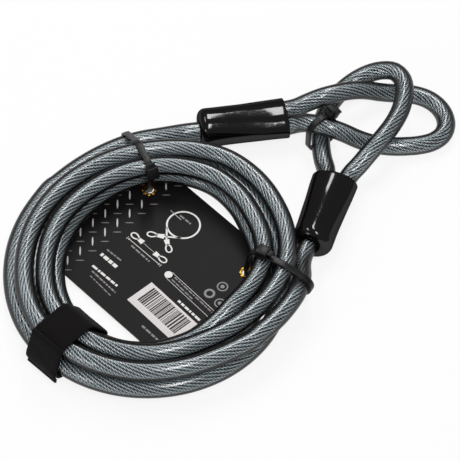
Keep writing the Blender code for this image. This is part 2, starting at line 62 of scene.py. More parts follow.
COIL_CENTRE = (-42.82, -31.15)
CABLE_D = 10.0
GAP = 0.3
CARD_BOTTOM = 2.2
CARD_THICK = 0.5
CARD_TOP = CARD_BOTTOM + CARD_THICK
CARD_CENTRE = (4.2, 14.0)
CARD_TURN = 43.0
LAYER_GAP = 0.5  # between the coil's two layers
BOTTOM_HEIGHT = CARD_TOP + GAP + CABLE_D / 2
LAYER_HEIGHT = CABLE_D + LAYER_GAP
POINTS_PER_LOOP = 24
LEAD_STEP = 7.0
LANE_ANGLES = 30
LANE_FIRST = 120
LANE_RADII = (
    (78.9, 73.3, 70.6, 70.6, 70.6, 69.4, 68.3, 67.4),
    (66.1, 69.2, 76.4, 75.9, 68.2, 62.3, 59.9, 59.8, 59.8, 58.6, 57.4, 56.2),
    (55.4, 58.0, 65.2, 64.8, 57.1, 51.4, 49.1, 49.1, 49.1, 47.8, 46.4, 48.0),
    (56.2, 59.8, 64.4, 62.2, 57.1, 54.3, 53.7, 56.1, 56.5, 55.7, 54.7, 59.2),
    (67.7, 73.4, 77.8, 73.2, 68.2, 65.1, 64.5, 66.9, 67.2, 66.5, 66.3, 71.0),
)
CLIMB = ((970, 0.0), (1020, 0.3), (1035, 0.58), (1050, 0.86), (1070, 1.0))  # angle, share of a layer
JACKET_STEP = 2.5
JACKET_SIDES = 24
CURVE_PARTS = 12  # between two knots of a curve
OUTLINE_SIDES = 24  # of the turns, where a tie or the strap is drawn round them
OUTLINE_STEP = 0.5

SLEEVE_LENGTH = 46.9
SLEEVE_ROUND_R = 10.3
SLEEVE_MOUTH_HALF_W = 12.3
SLEEVE_MOUTH_HALF_H = 7.9
SLEEVE_WALL = 1.2
SLEEVE_SHOULDER = 4.4
SLEEVE_WAIST = 0.35
SLEEVE_BULGE = 0.5
SLEEVE_LIP = 0.6  # rounding of the mouth's rim
SWELL = 0.04
SWELL_START = 4.0
SWELL_RISE = 10.0
SWELL_FALL = 6.0
SWELL_LENGTH = 9.0
SLEEVE_SIDES = 72
HOLE_CLEARANCE = 0.3
LEG_SPACING = 10.8
LEG_STRAIGHT = 3.5
ENTRY_STRAIGHT = 11.0
FERRULE_LENGTH = 22.0
FERRULE_START = 13.3
BORE_SPACING = 7.6
ROPE_R = 3.0
ROPE_STEP = 1.8
ROPE_PAST_BORE = 0.8
DEAD_END_IN = 1.5
JACKET_CUT_IN = 5.5
JACKET_CUT_OUT = 7.5
EYE_A = (
    (79.3, 108.3, 12.4), (88.2, 110.3, 15.8), (98.2, 113.4, 16.4), (106.9, 116.6, 14.9),
    (115.1, 119.3, 11.6), (122.3, 121.1, 7.9), (129.2, 122.2, 5.8), (136.3, 122.2, 5.3),
    (143.2, 120.6, 5.3), (149.8, 116.8, 5.3), (154.7, 110.2, 5.3), (156.5, 101.8, 5.3),
    (154.1, 94.0, 5.3), (147.6, 88.7, 5.3), (139.6, 86.6, 5.3), (131.0, 86.0, 5.3),
    (123.8, 86.2, 5.4), (116.1, 86.6, 6.9), (108.2, 86.8, 10.6), (99.4, 87.4, 15.8),
    (91.4, 89.1, 17.8), (84.2, 92.1, 17.0), (78.0, 95.0, 13.8),
)
EYE_B = (
    (90.9, 69.4, 7.3), (89.5, 78.4, 7.1), (89.1, 88.4, 7.0), (90.0, 98.9, 6.4),
    (92.5, 108.6, 5.5), (96.5, 117.0, 5.3), (102.0, 124.1, 5.8), (108.4, 129.0, 7.6),
    (115.2, 131.5, 10.4), (121.9, 131.5, 13.4), (127.8, 129.8, 15.7), (131.8, 126.2, 16.6),
    (133.9, 120.8, 16.8), (134.1, 113.8, 16.8), (132.1, 103.8, 16.7), (127.7, 93.5, 16.7),
    (121.4, 83.6, 16.5), (113.6, 74.2, 14.3), (106.4, 67.0, 9.8),
)
LEAD_IN = ((7.4, 90.0, 8.9), (-9.0, 86.8, 8.2), (-24.7, 79.3, BOTTOM_HEIGHT))
LEAD_OUT = ((71.2, -20.9, 17.5), (75.6, -7.2, 14.0))

BAND_W = 3.6
BAND_T = 1.2
HEAD_SIZE = (6.4, 6.0, 4.6)
HEAD_EDGE = 0.55
HEAD_SINK = 0.7
HEAD_RIM = 0.7  # left round the slot in each end of a tie's head
HEAD_SLOT = 0.6
STUB_LENGTH = 2.4
STUB_EDGE = 0.18
STUB_SINK = 0.6
TOOTH = (0.28, BAND_W - 1.2, 0.3)
TOOTH_EDGE = 0.08
TOOTH_STEP = 0.5
TIE_GAP = 0.3
TIE_SIDES = 34
CARD_RUN = 14.5

STRAP_W = 20.0
STRAP_T = 1.2
STRAP_EDGE = 0.35
STRAP_TURN = 225.0
STRAP_GAP = 0.45
STRAP_SIDES = 40
SELVEDGE = 0.44 * STRAP_W  # from the middle of the tape to where its edge starts
TAIL_GAP = 0.3
TAIL_DEPTH = 9.0
TAIL_TOP = 1.5
TAIL_FLOOR = 4.6
TAIL_TIP = ((-0.6, -1.9), (-0.2, -3.6))
TAPE_WAVES = ((0.12, 3, 0.5), (0.08, 5, -1.0))  # height, number along the tape, and slant
FIBRE_LENGTH = (0.25, 0.6)
FIBRE_LEAN = 0.5
FIBRE_R = 0.035
FIBRE_SUNK = 0.05
FIBRE_SKIPPED = 0.7  # share of those that fall between the selvedges

EYELET_ALONG = 26.4
EYELET_ACROSS = 36.6
EYELET_DROP = 0.7
EYELET_SIDES = 96
EYELET_PETALS = 8
EYELET_ROOM = 6.5  # left free of print round an eyelet

INK_HEIGHT = CARD_TOP + 0.03
INK_THICK = 0.025
TREAD_STEP = (6.32, 6.05)
TREAD_START = (-11.6, 55.4)
TREAD_ALONG = 40.7
TREAD_ACROSS = (-46.2, -26.4)
TREAD_BARS = ((5.8, 0.9), (4.6, 0.6))  # the pale bars and the dim ones between them
LOOP_DRAWN = 5.4
PANEL_SIZE = (16.5, 34.8)


# ---- Routes ----


def heading(degrees):
    return np.array([math.cos(math.radians(degrees)), math.sin(math.radians(degrees)), 0.0])


def unit(vector):
    return np.asarray(vector, float) / np.linalg.norm(vector)


def clamped(value):
    return min(max(value, 0.0), 1.0)


def eased(t):
    return t * t * (3 - 2 * t)


def round_angles(count):
    return np.arange(count) * math.tau / count


def circle(centre, radius, count):
    return [(centre[0] + radius * math.cos(t), centre[1] + radius * math.sin(t)) for t in round_angles(count)]


def between(a, b, c, d, t):
    """The smooth curve through a, b, c and d, at a share t of the way from b to c."""
    return 0.5 * (2 * b + (c - a) * t + (2 * a - 5 * b + 4 * c - d) * t**2 + (3 * b - a - 3 * c + d) * t**3)


def length_of(points):
    return float(np.linalg.norm(np.diff(points, axis=0), axis=1).sum())


def runs(points):
    """How far along a line each of its points lies."""
    return np.concatenate([[0], np.cumsum(np.linalg.norm(np.diff(points, axis=0), axis=1))])


def points_at(at, run, points):
    return np.stack([np.interp(at, run, column) for column in points.T], axis=1)


def resample(points, step):
    run = runs(points)
    return points_at(np.linspace(0, run[-1], max(2, round(run[-1] / step) + 1)), run, points)


def closed_path(outline, count):
    """Evenly spaced points round an outline."""
    points = np.vstack([outline, outline[:1]])
    run = runs(points)
    return points_at(np.linspace(0, run[-1], count, endpoint=False), run, points)


def spline(knots, step):
    """Points at an even spacing on a smooth curve through the knots."""
    knots = np.asarray(knots, float)
    padded = np.vstack([2 * knots[0] - knots[1], knots, 2 * knots[-1] - knots[-2]])
    dense = []
    for a, b, c, d in zip(padded, padded[1:], padded[2:], padded[3:]):
        dense += [between(a, b, c, d, t) for t in np.linspace(0, 1, CURVE_PARTS, endpoint=False)]
    return resample(np.array([*dense, knots[-1]]), step)


def smooth_loop(path, per_side):
    """More points on a closed path, along a smooth curve through the given ones."""
    made = []
    for i in range(len(path)):
        a, b, c, d = (path[(i + k) % len(path)] for k in (-1, 0, 1, 2))
        made += [between(a, b, c, d, t) for t in np.linspace(0, 1, per_side, endpoint=False)]
    return np.array(made)


def coil_points():
    radii = [r for lane in LANE_RADII for r in lane]
    angles = [LANE_FIRST + LANE_ANGLES * i for i in range(len(radii))]
    points = []
    for angle in range(LANE_FIRST, angles[-1] + 1, 360 // POINTS_PER_LOOP):
        i = min((angle - LANE_FIRST) // LANE_ANGLES, len(radii) - 2)
        t = (angle - angles[i]) / LANE_ANGLES
        radius = between(*(radii[min(max(i + k, 0), len(radii) - 1)] for k in (-1, 0, 1, 2)), t)
        x, y, _ = heading(angle) * radius
        points.append((x, y, BOTTOM_HEIGHT + LAYER_HEIGHT * np.interp(angle, *zip(*CLIMB))))
    return np.array(points)


class End:
    """A sleeve, its ferrule and its eye, along one axis."""

    def __init__(self, mouth, turn, heights, eye, main_side, hole_offset):
        self.along = unit((*(heading(turn)[:2] * SLEEVE_LENGTH), heights[1] - heights[0]))
        self.across = heading(turn + 90)
        self.up = np.cross(self.along, self.across)
        self.start = np.array([*mouth, heights[1]]) - self.along * SLEEVE_LENGTH
        self.eye = eye
        self.main_side = main_side
        self.hole_offset = hole_offset

    def at(self, along, across=0.0, up=0.0):
        return self.start + self.along * along + self.across * across + self.up * up

    def leg(self, side):
        return [
            self.at(SLEEVE_LENGTH + LEG_STRAIGHT, side * LEG_SPACING / 2),
            self.at(SLEEVE_LENGTH - JACKET_CUT_OUT, side * LEG_SPACING / 2),
        ]

    def bore(self, side, last):
        first = FERRULE_START + FERRULE_LENGTH + ROPE_PAST_BORE
        return [self.at(s, side * BORE_SPACING / 2) for s in (first, (first + last) / 2, last)]

    def eye_line(self):
        return spline([*self.leg(1)[::-1], *self.eye, *self.leg(-1)], LEAD_STEP)

    def rope_out(self):
        main = self.bore(self.main_side, FERRULE_START - ROPE_PAST_BORE)
        dead = self.bore(-self.main_side, FERRULE_START + DEAD_END_IN)
        eye = self.eye_line()
        return np.vstack([main[::-1], eye if self.main_side > 0 else eye[::-1], dead])

    def entry(self):
        return [self.at(s, self.hole_offset) for s in (-ENTRY_STRAIGHT, 0.0, JACKET_CUT_IN)]


END_A = End((70.9, 101.2), 9.4, (10.5, 10.4), EYE_A, -1, -1.5)
END_B = End((95.6, 60.6), 71.9, (10.5, 8.0), EYE_B, 1, 1.5)
COIL = coil_points()


def main_line():
    head = spline([*END_A.entry()[::-1], *LEAD_IN, COIL[0], COIL[1]], LEAD_STEP)
    tail = spline([COIL[-2], COIL[-1], *LEAD_OUT, *END_B.entry()], LEAD_STEP)
    return np.vstack([head[:-1], COIL[1:-2], tail])


def rope_line():
    return np.vstack([END_A.rope_out()[::-1], main_line(), END_B.rope_out()])


def placed(points):
    """Route points, from the coil's centre and in millimetres, in the model's frame and in metres."""
    return (np.asarray(points, float) + (*COIL_CENTRE, 0.0)) * MM


def card_point(along, across, z):
    x, y, _ = heading(CARD_TURN) * along + heading(CARD_TURN - 90) * across
    return np.array([CARD_CENTRE[0] + x, CARD_CENTRE[1] + y, z])


def hull(points):
    points = sorted(map(tuple, np.round(points, 4)))

    def half(run):
        kept = []
        for p in run:
            while len(kept) > 1:
                (ax, ay), (bx, by) = kept[-2], kept[-1]
                if (bx - ax) * (p[1] - by) - (by - ay) * (p[0] - bx) > 0:
                    break
                kept.pop()
            kept.append(p)
        return kept[:-1]

    return np.array(half(points) + half(points[::-1]))


def section(lines, centre, turn, half_width, inner, outer=math.inf):
    """Points of the tubes' outlines that a slab across the lines holds, from inner to outer."""
    out, across = heading(turn)[:2], heading(turn + 90)[:2]
    angles = round_angles(OUTLINE_SIDES)
    found = []
    for line in lines:
        fine = resample(line, OUTLINE_STEP)
        offset = (fine[:, :2] - centre) @ across
        for i in np.nonzero(np.abs(offset) < half_width + CABLE_D / 2)[0]:
            tangent = unit(fine[min(i + 1, len(fine) - 1)] - fine[max(i - 1, 0)])
            side = unit(np.cross(tangent, (0, 0, 1)))
            top = np.cross(side, tangent)
            ring = fine[i] + CABLE_D / 2 * (np.outer(np.cos(angles), side) + np.outer(np.sin(angles), top))
            s, w = (ring[:, :2] - centre) @ out, (ring[:, :2] - centre) @ across
            kept = (np.abs(w) <= half_width) & (s > inner) & (s < outer)
            found += list(zip(s[kept], ring[kept, 2]))
    return np.array(found)


def grown(points, reach):
    """The outline that lies a reach outside the hull of points in a plane."""
    ring = np.array(circle((0.0, 0.0), reach, OUTLINE_SIDES))
    return hull((hull(points)[:, None, :] + ring[None]).reshape(-1, 2))


# ---- Mesh helpers ----


def directions(path, loop=False):
    """Unit tangents at each point of a path."""
    along = np.roll(path, -1, axis=0) - np.roll(path, 1, axis=0) if loop else np.gradient(path, axis=0)
    return along / np.linalg.norm(along, axis=1)[:, None]


def carried(path):
    """Two side directions that follow a path without twisting round it."""
    tangents = directions(path)
    side = unit(np.cross(tangents[0], (0, 0, 1)))
    sides = []
    for tangent in tangents:
        side = unit(side - tangent * (side @ tangent))
        sides.append(side)
    return np.array(sides), np.cross(tangents, sides)


def lay_grid(bm, rings, loop=False, sharp_every=0, uv_length=None):
    """A grid of faces laid over rings of points in metres, closed round each ring.

    Its ends are capped, or joined in a loop. Its UV runs round, then along.
    """
    rings = np.asarray(rings, float)
    rings = np.concatenate([rings, rings[:, :1]], axis=1)
    if loop:
        rings = np.concatenate([rings, rings[:1]], axis=0)
    rows, columns = rings.shape[:2]
    uv = bm.loops.layers.uv.verify()
    before = len(bm.verts)
    made = bmesh.ops.create_grid(
        bm, x_segments=columns - 1, y_segments=rows - 1, size=0.5, calc_uvs=True
    )["verts"]
    for vert, point in zip(made, rings.reshape(-1, 3)):
        vert.co = point
    bm.verts.index_update()
    faces = {face for vert in made for face in vert.link_faces}
    if uv_length:
        for face in faces:
            for corner in face.loops:
                corner[uv].uv.y *= uv_length
    if sharp_every:
        for face in faces:
            for edge in face.edges:
                a, b = ((v.index - before) % columns for v in edge.verts)
                if a == b and a % sharp_every == 0:
                    edge.smooth = False
    bmesh.ops.remove_doubles(bm, verts=made, dist=1e-7)
    if not loop:
        bmesh.ops.holes_fill(bm, edges=[e for e in bm.edges if e.is_boundary], sides=0)


def finished(name, bm, materials, body, smooth=True):
    """Turns a bmesh into a piece that rides on a body."""
    bmesh.ops.recalc_face_normals(bm, faces=bm.faces)
    mesh = bpy.data.meshes.new(name)
    bm.to_mesh(mesh)
    bm.free()
    for made in materials:
        mesh.materials.append(made)
    mesh.polygons.foreach_set("use_smooth", [smooth] * len(mesh.polygons))
    obj = bpy.data.objects.new(name, mesh)
    bpy.context.scene.collection.objects.link(obj)
    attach(obj, body)
    return obj


def tube_rings(path, radius, sides):
    side, up = carried(path)
    t = round_angles(sides)[None, :, None]
    return path[:, None] + (np.cos(t) * side[:, None] + np.sin(t) * up[:, None]) * radius


def rounded_bar(width, thick, corner, steps=3, across=1):
    """The outline of a flat bar with rounded edges, as (across, off) pairs."""
    points = []
    for cx, cy, start in ((1, 1, 0), (-1, 1, 90), (-1, -1, 180), (1, -1, 270)):
        for k in range(steps + 1):
            t = math.radians(start + 90 * k / steps)
            points.append((
                cx * (width / 2 - corner) + corner * math.cos(t),
                cy * (thick / 2 - corner) + corner * math.sin(t),
            ))
        if cx == cy:
            points += [
                (cx * (width / 2 - corner) * (1 - 2 * k / across), cy * thick / 2) for k in range(1, across)
            ]
    return np.array(points)


def band_rings(path, centre, turn, outline, loop=True, wave=0.0):
    """Rings of an outline along a path, in the upright plane through the centre that faces the turn."""
    out, across = heading(turn), heading(turn + 90)
    points = np.array([*centre, 0.0]) + path[:, :1] * out + path[:, 1:2] * UP
    along = directions(path, loop)
    normal = (along[:, 1:2] * out - along[:, :1] * UP)[:, None]
    rings = points[:, None] + outline[None, :, :1] * across + outline[None, :, 1:2] * normal
    return placed(rings + np.asarray(wave)[..., None] * normal)


# ---- Material helpers ----


def colour(code):
    """An sRGB hex value as linear RGBA."""
    parts = [int(code[i : i + 2], 16) / 255 for i in (1, 3, 5)]
    return (*(c / 12.92 if c <= 0.04045 else ((c + 0.055) / 1.055) ** 2.4 for c in parts), 1.0)


def rgba(values):
    return (*values[:3], 1.0)


def add(tree, kind, sockets=(), **settings):
    """Adds a node with its settings. A socket gets a value, an output, or the first output of another node."""
    made = tree.nodes.new(kind)
    for key, value in settings.items():
        setattr(made, key, value)
    for socket, value in dict(sockets).items():
        if isinstance(value, bpy.types.Node):
            value = value.outputs[0]
        if isinstance(value, bpy.types.NodeSocket):
            tree.links.new(value, made.inputs[socket])
        else:
            made.inputs[socket].default_value = value
    return made


def material(name, recipe, *values):
    """The material of this name, which its recipe builds when it is first asked for."""
    made = bpy.data.materials.get(name)
    if not made:
        made = bpy.data.materials.new(name)
        made.use_nodes = True
        made.node_tree.nodes.clear()
        shader = recipe(made.node_tree, *values)
        add(made.node_tree, "ShaderNodeOutputMaterial", {"Surface": shader})
    return made


def clear_pvc(tree, settings):
    """Plasticised PVC, extruded clear and glossy: smoky at its edges, where the eye looks along the wall, and
    darkened there to near black with painted shade.
    """
    facing = add(tree, "ShaderNodeLayerWeight", {"Blend": 0.5}).outputs["Facing"]
    # Past about seven tenths of the radius the eye looks along the wall, and no longer through it. There the
    # jacket is painted near black: its smoky tint, deepened into painted shade.
    edge_shade_share = add(tree, "ShaderNodeValToRGB", {0: facing})
    stops = edge_shade_share.color_ramp.elements
    stops[0].position, stops[0].color = 0.2, (0.02, 0.02, 0.02, 1.0)
    stops[1].position, stops[1].color = 0.9, (0.93, 0.93, 0.93, 1.0)
    for position, share in ((0.27, 0.12), (0.34, 0.7), (0.42, 0.92)):
        stops.new(position).color = (share, share, share, 1.0)
    clear = add(tree, "ShaderNodeBsdfTransparent", {"Color": colour("#f4f8f9")})
    wall = add(
        tree, "ShaderNodeBsdfPrincipled",
        {"Base Color": rgba(settings.jacket_smoke_and_edge_shade), "Roughness": 0.3, "Specular IOR Level": 0.2},
    )
    body = add(tree, "ShaderNodeMixShader", {0: edge_shade_share, 1: clear, 2: wall})
    gloss = add(tree, "ShaderNodeBsdfGlossy", {"Color": colour("#ffffff"), "Roughness": 0.2})
    # Soft PVC is dull where it is seen edge on, so it mirrors less there than hard plastic.
    mirror = add(
        tree, "ShaderNodeMapRange",
        {"Value": facing, "From Min": 0.24, "From Max": 0.48, "To Min": 0.05, "To Max": 0.012},
    )
    seen = add(tree, "ShaderNodeMixShader", {0: mirror, 1: body, 2: gloss})
    # Lamps shine through the wall on to the rope.
    shadow = add(tree, "ShaderNodeLightPath").outputs["Is Shadow Ray"]
    passed = add(tree, "ShaderNodeBsdfTransparent", {"Color": colour("#eef2f3")})
    return add(tree, "ShaderNodeMixShader", {0: shadow, 1: seen, 2: passed})


def galvanised_steel(tree, settings):
    """Galvanised steel wire, drawn and laid into strands: pale blue-grey crowns, with painted shade in the grooves
    between the strands and in the gaps between the wires.
    """
    parts = add(tree, "ShaderNodeSeparateXYZ", {0: add(tree, "ShaderNodeUVMap")})
    # Round one strand: 0 at its grooves, 1 on its crown. The grooves are painted dark from this, as painted shade.
    turns = add(tree, "ShaderNodeMath", {0: parts, 1: float(settings.strands)}, operation="MULTIPLY")
    strand = add(tree, "ShaderNodeMath", {0: turns}, operation="FRACT")
    centred = add(tree, "ShaderNodeMath", {0: strand, 1: 0.5}, operation="SUBTRACT")
    off = add(tree, "ShaderNodeMath", {0: centred}, operation="ABSOLUTE")
    crown = add(
        tree, "ShaderNodeMapRange", {"Value": off, "From Min": 0.45, "From Max": 0.17},
        interpolation_type="SMOOTHSTEP",
    )
    # Six outer wires round each strand. They cross its crown every 1.5 mm, and are drawn 1.8 mm apart to show.
    # Their colour is painted lighter on each wire, with painted shade in the gaps between them.
    slant = add(tree, "ShaderNodeMath", {0: turns, 1: -1.6}, operation="MULTIPLY")
    run = add(tree, "ShaderNodeMath", {0: parts.outputs[1], 1: 0.55}, operation="MULTIPLY")
    both = add(tree, "ShaderNodeMath", {0: slant, 1: run}, operation="ADD")
    angle = add(tree, "ShaderNodeMath", {0: both, 1: math.tau}, operation="MULTIPLY")
    wire = add(tree, "ShaderNodeMath", {0: angle}, operation="SINE")
    painted_wire_shading = add(
        tree, "ShaderNodeMapRange", {"Value": wire, "From Min": -0.5, "From Max": 0.5, "To Min": 0.1}
    )
    spot = add(tree, "ShaderNodeTexCoord").outputs["Object"]
    patchy = add(tree, "ShaderNodeTexNoise", {"Vector": spot, "Scale": 420.0, "Detail": 3.0})
    patch_light = add(
        tree, "ShaderNodeMapRange",
        {"Value": patchy, "From Min": 0.3, "From Max": 0.7, "To Min": 0.72, "To Max": 1.1},
    )
    shade = add(tree, "ShaderNodeMath", {0: painted_wire_shading, 1: patch_light}, operation="MULTIPLY")
    lit = add(tree, "ShaderNodeMath", {0: shade, 1: crown}, operation="MULTIPLY")
    # Shaded grooves and wire gaps go towards near black: painted shade over the pale steel, with random patches of
    # tone.
    tint = add(
        tree, "ShaderNodeMix", {0: lit, 6: colour("#030506"), 7: rgba(settings.steel_colour)}, data_type="RGBA"
    )
    bump = add(tree, "ShaderNodeBump", {"Height": wire, "Strength": 0.5, "Distance": 0.00015})
    return add(
        tree, "ShaderNodeBsdfPrincipled",
        {"Base Color": tint.outputs[2], "Normal": bump, "Metallic": 0.3, "Roughness": 0.38},
    )


def dipped_vinyl(tree, settings):
    """Black plasticised vinyl, dip moulded: deep black and wet-looking, with a faint orange-peel surface."""
    spot = add(tree, "ShaderNodeTexCoord").outputs["Object"]
    peel = add(tree, "ShaderNodeTexNoise", {"Vector": spot, "Scale": 260.0, "Detail": 2.0})
    fine = add(tree, "ShaderNodeTexNoise", {"Vector": spot, "Scale": 1500.0, "Detail": 1.0})
    rough = add(
        tree, "ShaderNodeMapRange",
        {"Value": fine, "From Min": 0.35, "From Max": 0.7, "To Min": 0.06, "To Max": 0.13},
    )
    bump = add(tree, "ShaderNodeBump", {"Height": peel, "Strength": 0.07, "Distance": 0.0004})
    black = add(tree, "ShaderNodeBsdfDiffuse", {"Color": rgba(settings.sleeve_colour), "Normal": bump})
    gloss = add(tree, "ShaderNodeBsdfGlossy", {"Color": colour("#ffffff"), "Roughness": rough, "Normal": bump})
    # Soft vinyl mirrors no more where it is seen edge on than where it is seen face on.
    facing = add(tree, "ShaderNodeLayerWeight", {"Blend": 0.5}).outputs["Facing"]
    mirror = add(
        tree, "ShaderNodeMapRange",
        {"Value": facing, "From Min": 0.3, "From Max": 0.8, "To Min": 0.035, "To Max": 0.02},
    )
    return add(tree, "ShaderNodeMixShader", {0: mirror, 1: black, 2: gloss})


def moulded_nylon(tree, settings):
    """Black polyamide, injection moulded: a satin black that catches soft light on its edges."""
    spot = add(tree, "ShaderNodeTexCoord").outputs["Object"]
    grain = add(tree, "ShaderNodeTexNoise", {"Vector": spot, "Scale": 1800.0, "Detail": 2.0})
    rough = add(
        tree, "ShaderNodeMapRange",
        {"Value": grain, "From Min": 0.3, "From Max": 0.7, "To Min": 0.32, "To Max": 0.5},
    )
    bump = add(tree, "ShaderNodeBump", {"Height": grain, "Strength": 0.15, "Distance": 0.00005})
    return add(tree, "ShaderNodeBsdfPrincipled", {
        "Base Color": rgba(settings.tie_colour), "IOR": 1.5, "Specular IOR Level": 0.35,
        "Roughness": rough, "Normal": bump,
    })


def woven_tape(tree, settings):
    """Nylon hook-and-loop tape, woven and brushed: a dull black that drinks light, with fine cross ribs."""
    parts = add(tree, "ShaderNodeSeparateXYZ", {0: add(tree, "ShaderNodeUVMap")})
    # Ribs every 0.9 mm along the tape. The real picks are 0.4 mm apart and would not show.
    ribs = add(tree, "ShaderNodeMath", {0: parts.outputs[1], 1: math.tau / 0.9}, operation="MULTIPLY")
    rib = add(tree, "ShaderNodeMath", {0: ribs}, operation="SINE")
    ends = add(tree, "ShaderNodeMath", {0: parts, 1: math.tau * 46.0}, operation="MULTIPLY")
    end = add(tree, "ShaderNodeMath", {0: ends}, operation="SINE")
    weave = add(tree, "ShaderNodeMath", {0: rib, 1: end}, operation="MULTIPLY")
    spot = add(tree, "ShaderNodeTexCoord").outputs["Object"]
    pile = add(tree, "ShaderNodeTexNoise", {"Vector": spot, "Scale": 1400.0, "Detail": 3.0})
    height = add(tree, "ShaderNodeMath", {0: weave, 1: pile}, operation="ADD")
    # The weave's hollows are painted darker and its raised ribs lighter: painted shade that follows the bump's
    # height, with the pile's noise adding random tone.
    light = add(tree, "ShaderNodeMapRange", {"Value": height, "From Min": -0.3, "From Max": 1.3})
    tint = add(
        tree, "ShaderNodeMix", {0: light, 6: colour("#030203"), 7: rgba(settings.strap_colour)},
        data_type="RGBA",
    )
    bump = add(tree, "ShaderNodeBump", {"Height": height, "Strength": 0.6, "Distance": 0.00012})
    return add(tree, "ShaderNodeBsdfPrincipled", {
        "Base Color": tint.outputs[2], "Normal": bump, "Roughness": 0.95, "Specular IOR Level": 0.2,
        "Sheen Weight": 0.03, "Sheen Roughness": 0.5,
    })


def coated_board(tree, settings):
    """Solid board, offset printed black and varnished: satin faces round a pale cut edge."""
    normal = add(tree, "ShaderNodeNewGeometry").outputs["Normal"]
    parts = add(tree, "ShaderNodeSeparateXYZ", {0: normal})
    level = add(tree, "ShaderNodeMath", {0: parts.outputs[2]}, operation="ABSOLUTE")
    face = add(tree, "ShaderNodeMapRange", {"Value": level, "From Min": 0.4, "From Max": 0.6})
    spot = add(tree, "ShaderNodeTexCoord").outputs["Object"]
    cloud = add(tree, "ShaderNodeTexNoise", {"Vector": spot, "Scale": 30.0, "Detail": 4.0})
    ink = add(
        tree, "ShaderNodeMix", {0: cloud, 6: colour("#0d0a0b"), 7: rgba(settings.card_colour)},
        data_type="RGBA",
    )
    tint = add(
        tree, "ShaderNodeMix", {0: face, 6: colour("#b9a67a"), 7: ink.outputs[2]}, data_type="RGBA"
    )
    fibre = add(tree, "ShaderNodeTexNoise", {"Vector": spot, "Scale": 900.0, "Detail": 2.0})
    bump = add(tree, "ShaderNodeBump", {"Height": fibre, "Strength": 0.08, "Distance": 0.0001})
    return add(
        tree, "ShaderNodeBsdfPrincipled",
        {"Base Color": tint.outputs[2], "Normal": bump, "Roughness": 0.5, "Specular IOR Level": 0.15},
    )


def offset_ink(tree, code):
    """Offset ink on varnished board: flat and even, with a little tooth from the paper."""
    spot = add(tree, "ShaderNodeTexCoord").outputs["Object"]
    tooth = add(tree, "ShaderNodeTexNoise", {"Vector": spot, "Scale": 1200.0, "Detail": 2.0})
    dark = rgba([c * 0.86 for c in colour(code)])
    tint = add(tree, "ShaderNodeMix", {0: tooth, 6: dark, 7: colour(code)}, data_type="RGBA")
    return add(
        tree, "ShaderNodeBsdfPrincipled",
        {"Base Color": tint.outputs[2], "Roughness": 0.45, "Specular IOR Level": 0.3},
    )


def stamped_brass(tree, settings):
    """Brass, rolled and stamped: warm yellow metal, scuffed where the die split it into petals."""
    spot = add(tree, "ShaderNodeTexCoord").outputs["Object"]
    scuff = add(tree, "ShaderNodeTexNoise", {"Vector": spot, "Scale": 1100.0, "Detail": 3.0})
    tint = add(
        tree, "ShaderNodeMix", {0: scuff, 6: colour("#8a5f1e"), 7: rgba(settings.brass_colour)},
        data_type="RGBA",
    )
    rough = add(
        tree, "ShaderNodeMapRange",
        {"Value": scuff, "From Min": 0.3, "From Max": 0.7, "To Min": 0.2, "To Max": 0.4},
    )
    return add(
        tree, "ShaderNodeBsdfPrincipled", {"Base Color": tint.outputs[2], "Roughness": rough, "Metallic": 1.0}
    )


def pressed_aluminium(tree):
    """Aluminium, extruded and pressed on: dull silver with faint die marks along it."""
    spot = add(tree, "ShaderNodeTexCoord").outputs["Object"]
    marks = add(tree, "ShaderNodeTexNoise", {"Vector": spot, "Scale": 500.0, "Detail": 3.0})
    tint = add(
        tree, "ShaderNodeMix", {0: marks, 6: colour("#8d9092"), 7: colour("#c6c9cb")}, data_type="RGBA"
    )
    return add(
        tree, "ShaderNodeBsdfPrincipled", {"Base Color": tint.outputs[2], "Metallic": 1.0, "Roughness": 0.42}
    )


def backdrop_paper(tree):
    """Matt white paper: it reads near white to the camera and keeps a soft shadow."""
    path = add(tree, "ShaderNodeLightPath").outputs
    direct = add(tree, "ShaderNodeMath", {0: path["Is Camera Ray"], 1: path["Is Glossy Ray"]}, operation="ADD")
    seen = add(tree, "ShaderNodeMath", {0: direct, 1: path["Is Transmission Ray"]}, operation="ADD")
    share = add(tree, "ShaderNodeMath", {0: seen, 1: 0.85}, operation="MULTIPLY", use_clamp=True)
    paper = add(tree, "ShaderNodeBsdfDiffuse", {"Color": colour("#f4f4f4")})
    glow = add(tree, "ShaderNodeEmission", {"Color": colour("#ffffff"), "Strength": 1.0})
    return add(tree, "ShaderNodeMixShader", {0: share, 1: paper, 2: glow})


# ---- Settings ----


def hue(name, description, code):
    return FloatVectorProperty(name=name, description=description, subtype="COLOR", default=colour(code)[:3])


class CableSettings(bpy.types.PropertyGroup):
    """Sizes and colours of the cable and its sleeves."""

    strands: IntProperty(name="Strands", description="Outer strands of the rope", default=12, min=6, max=19)
    lay: FloatProperty(
        name="Lay", description="Length in which a strand goes once round the rope",
        default=0.058, unit="LENGTH",
    )
    seen_radius: FloatProperty(
        name="Seen radius", description="Radius at which the clear jacket shows the rope",
        default=0.0037, unit="LENGTH",
    )
    steel_colour: hue("Steel", "Colour of the strands", "#eef7fb")
    # Near black: the jacket's smoky tint, deepened into painted shade at its edges.
    jacket_smoke_and_edge_shade: hue("Jacket", "Colour of the jacket seen along its wall", "#100c0b")
    sleeve_colour: hue("Sleeve", "Colour of the sleeves", "#080506")


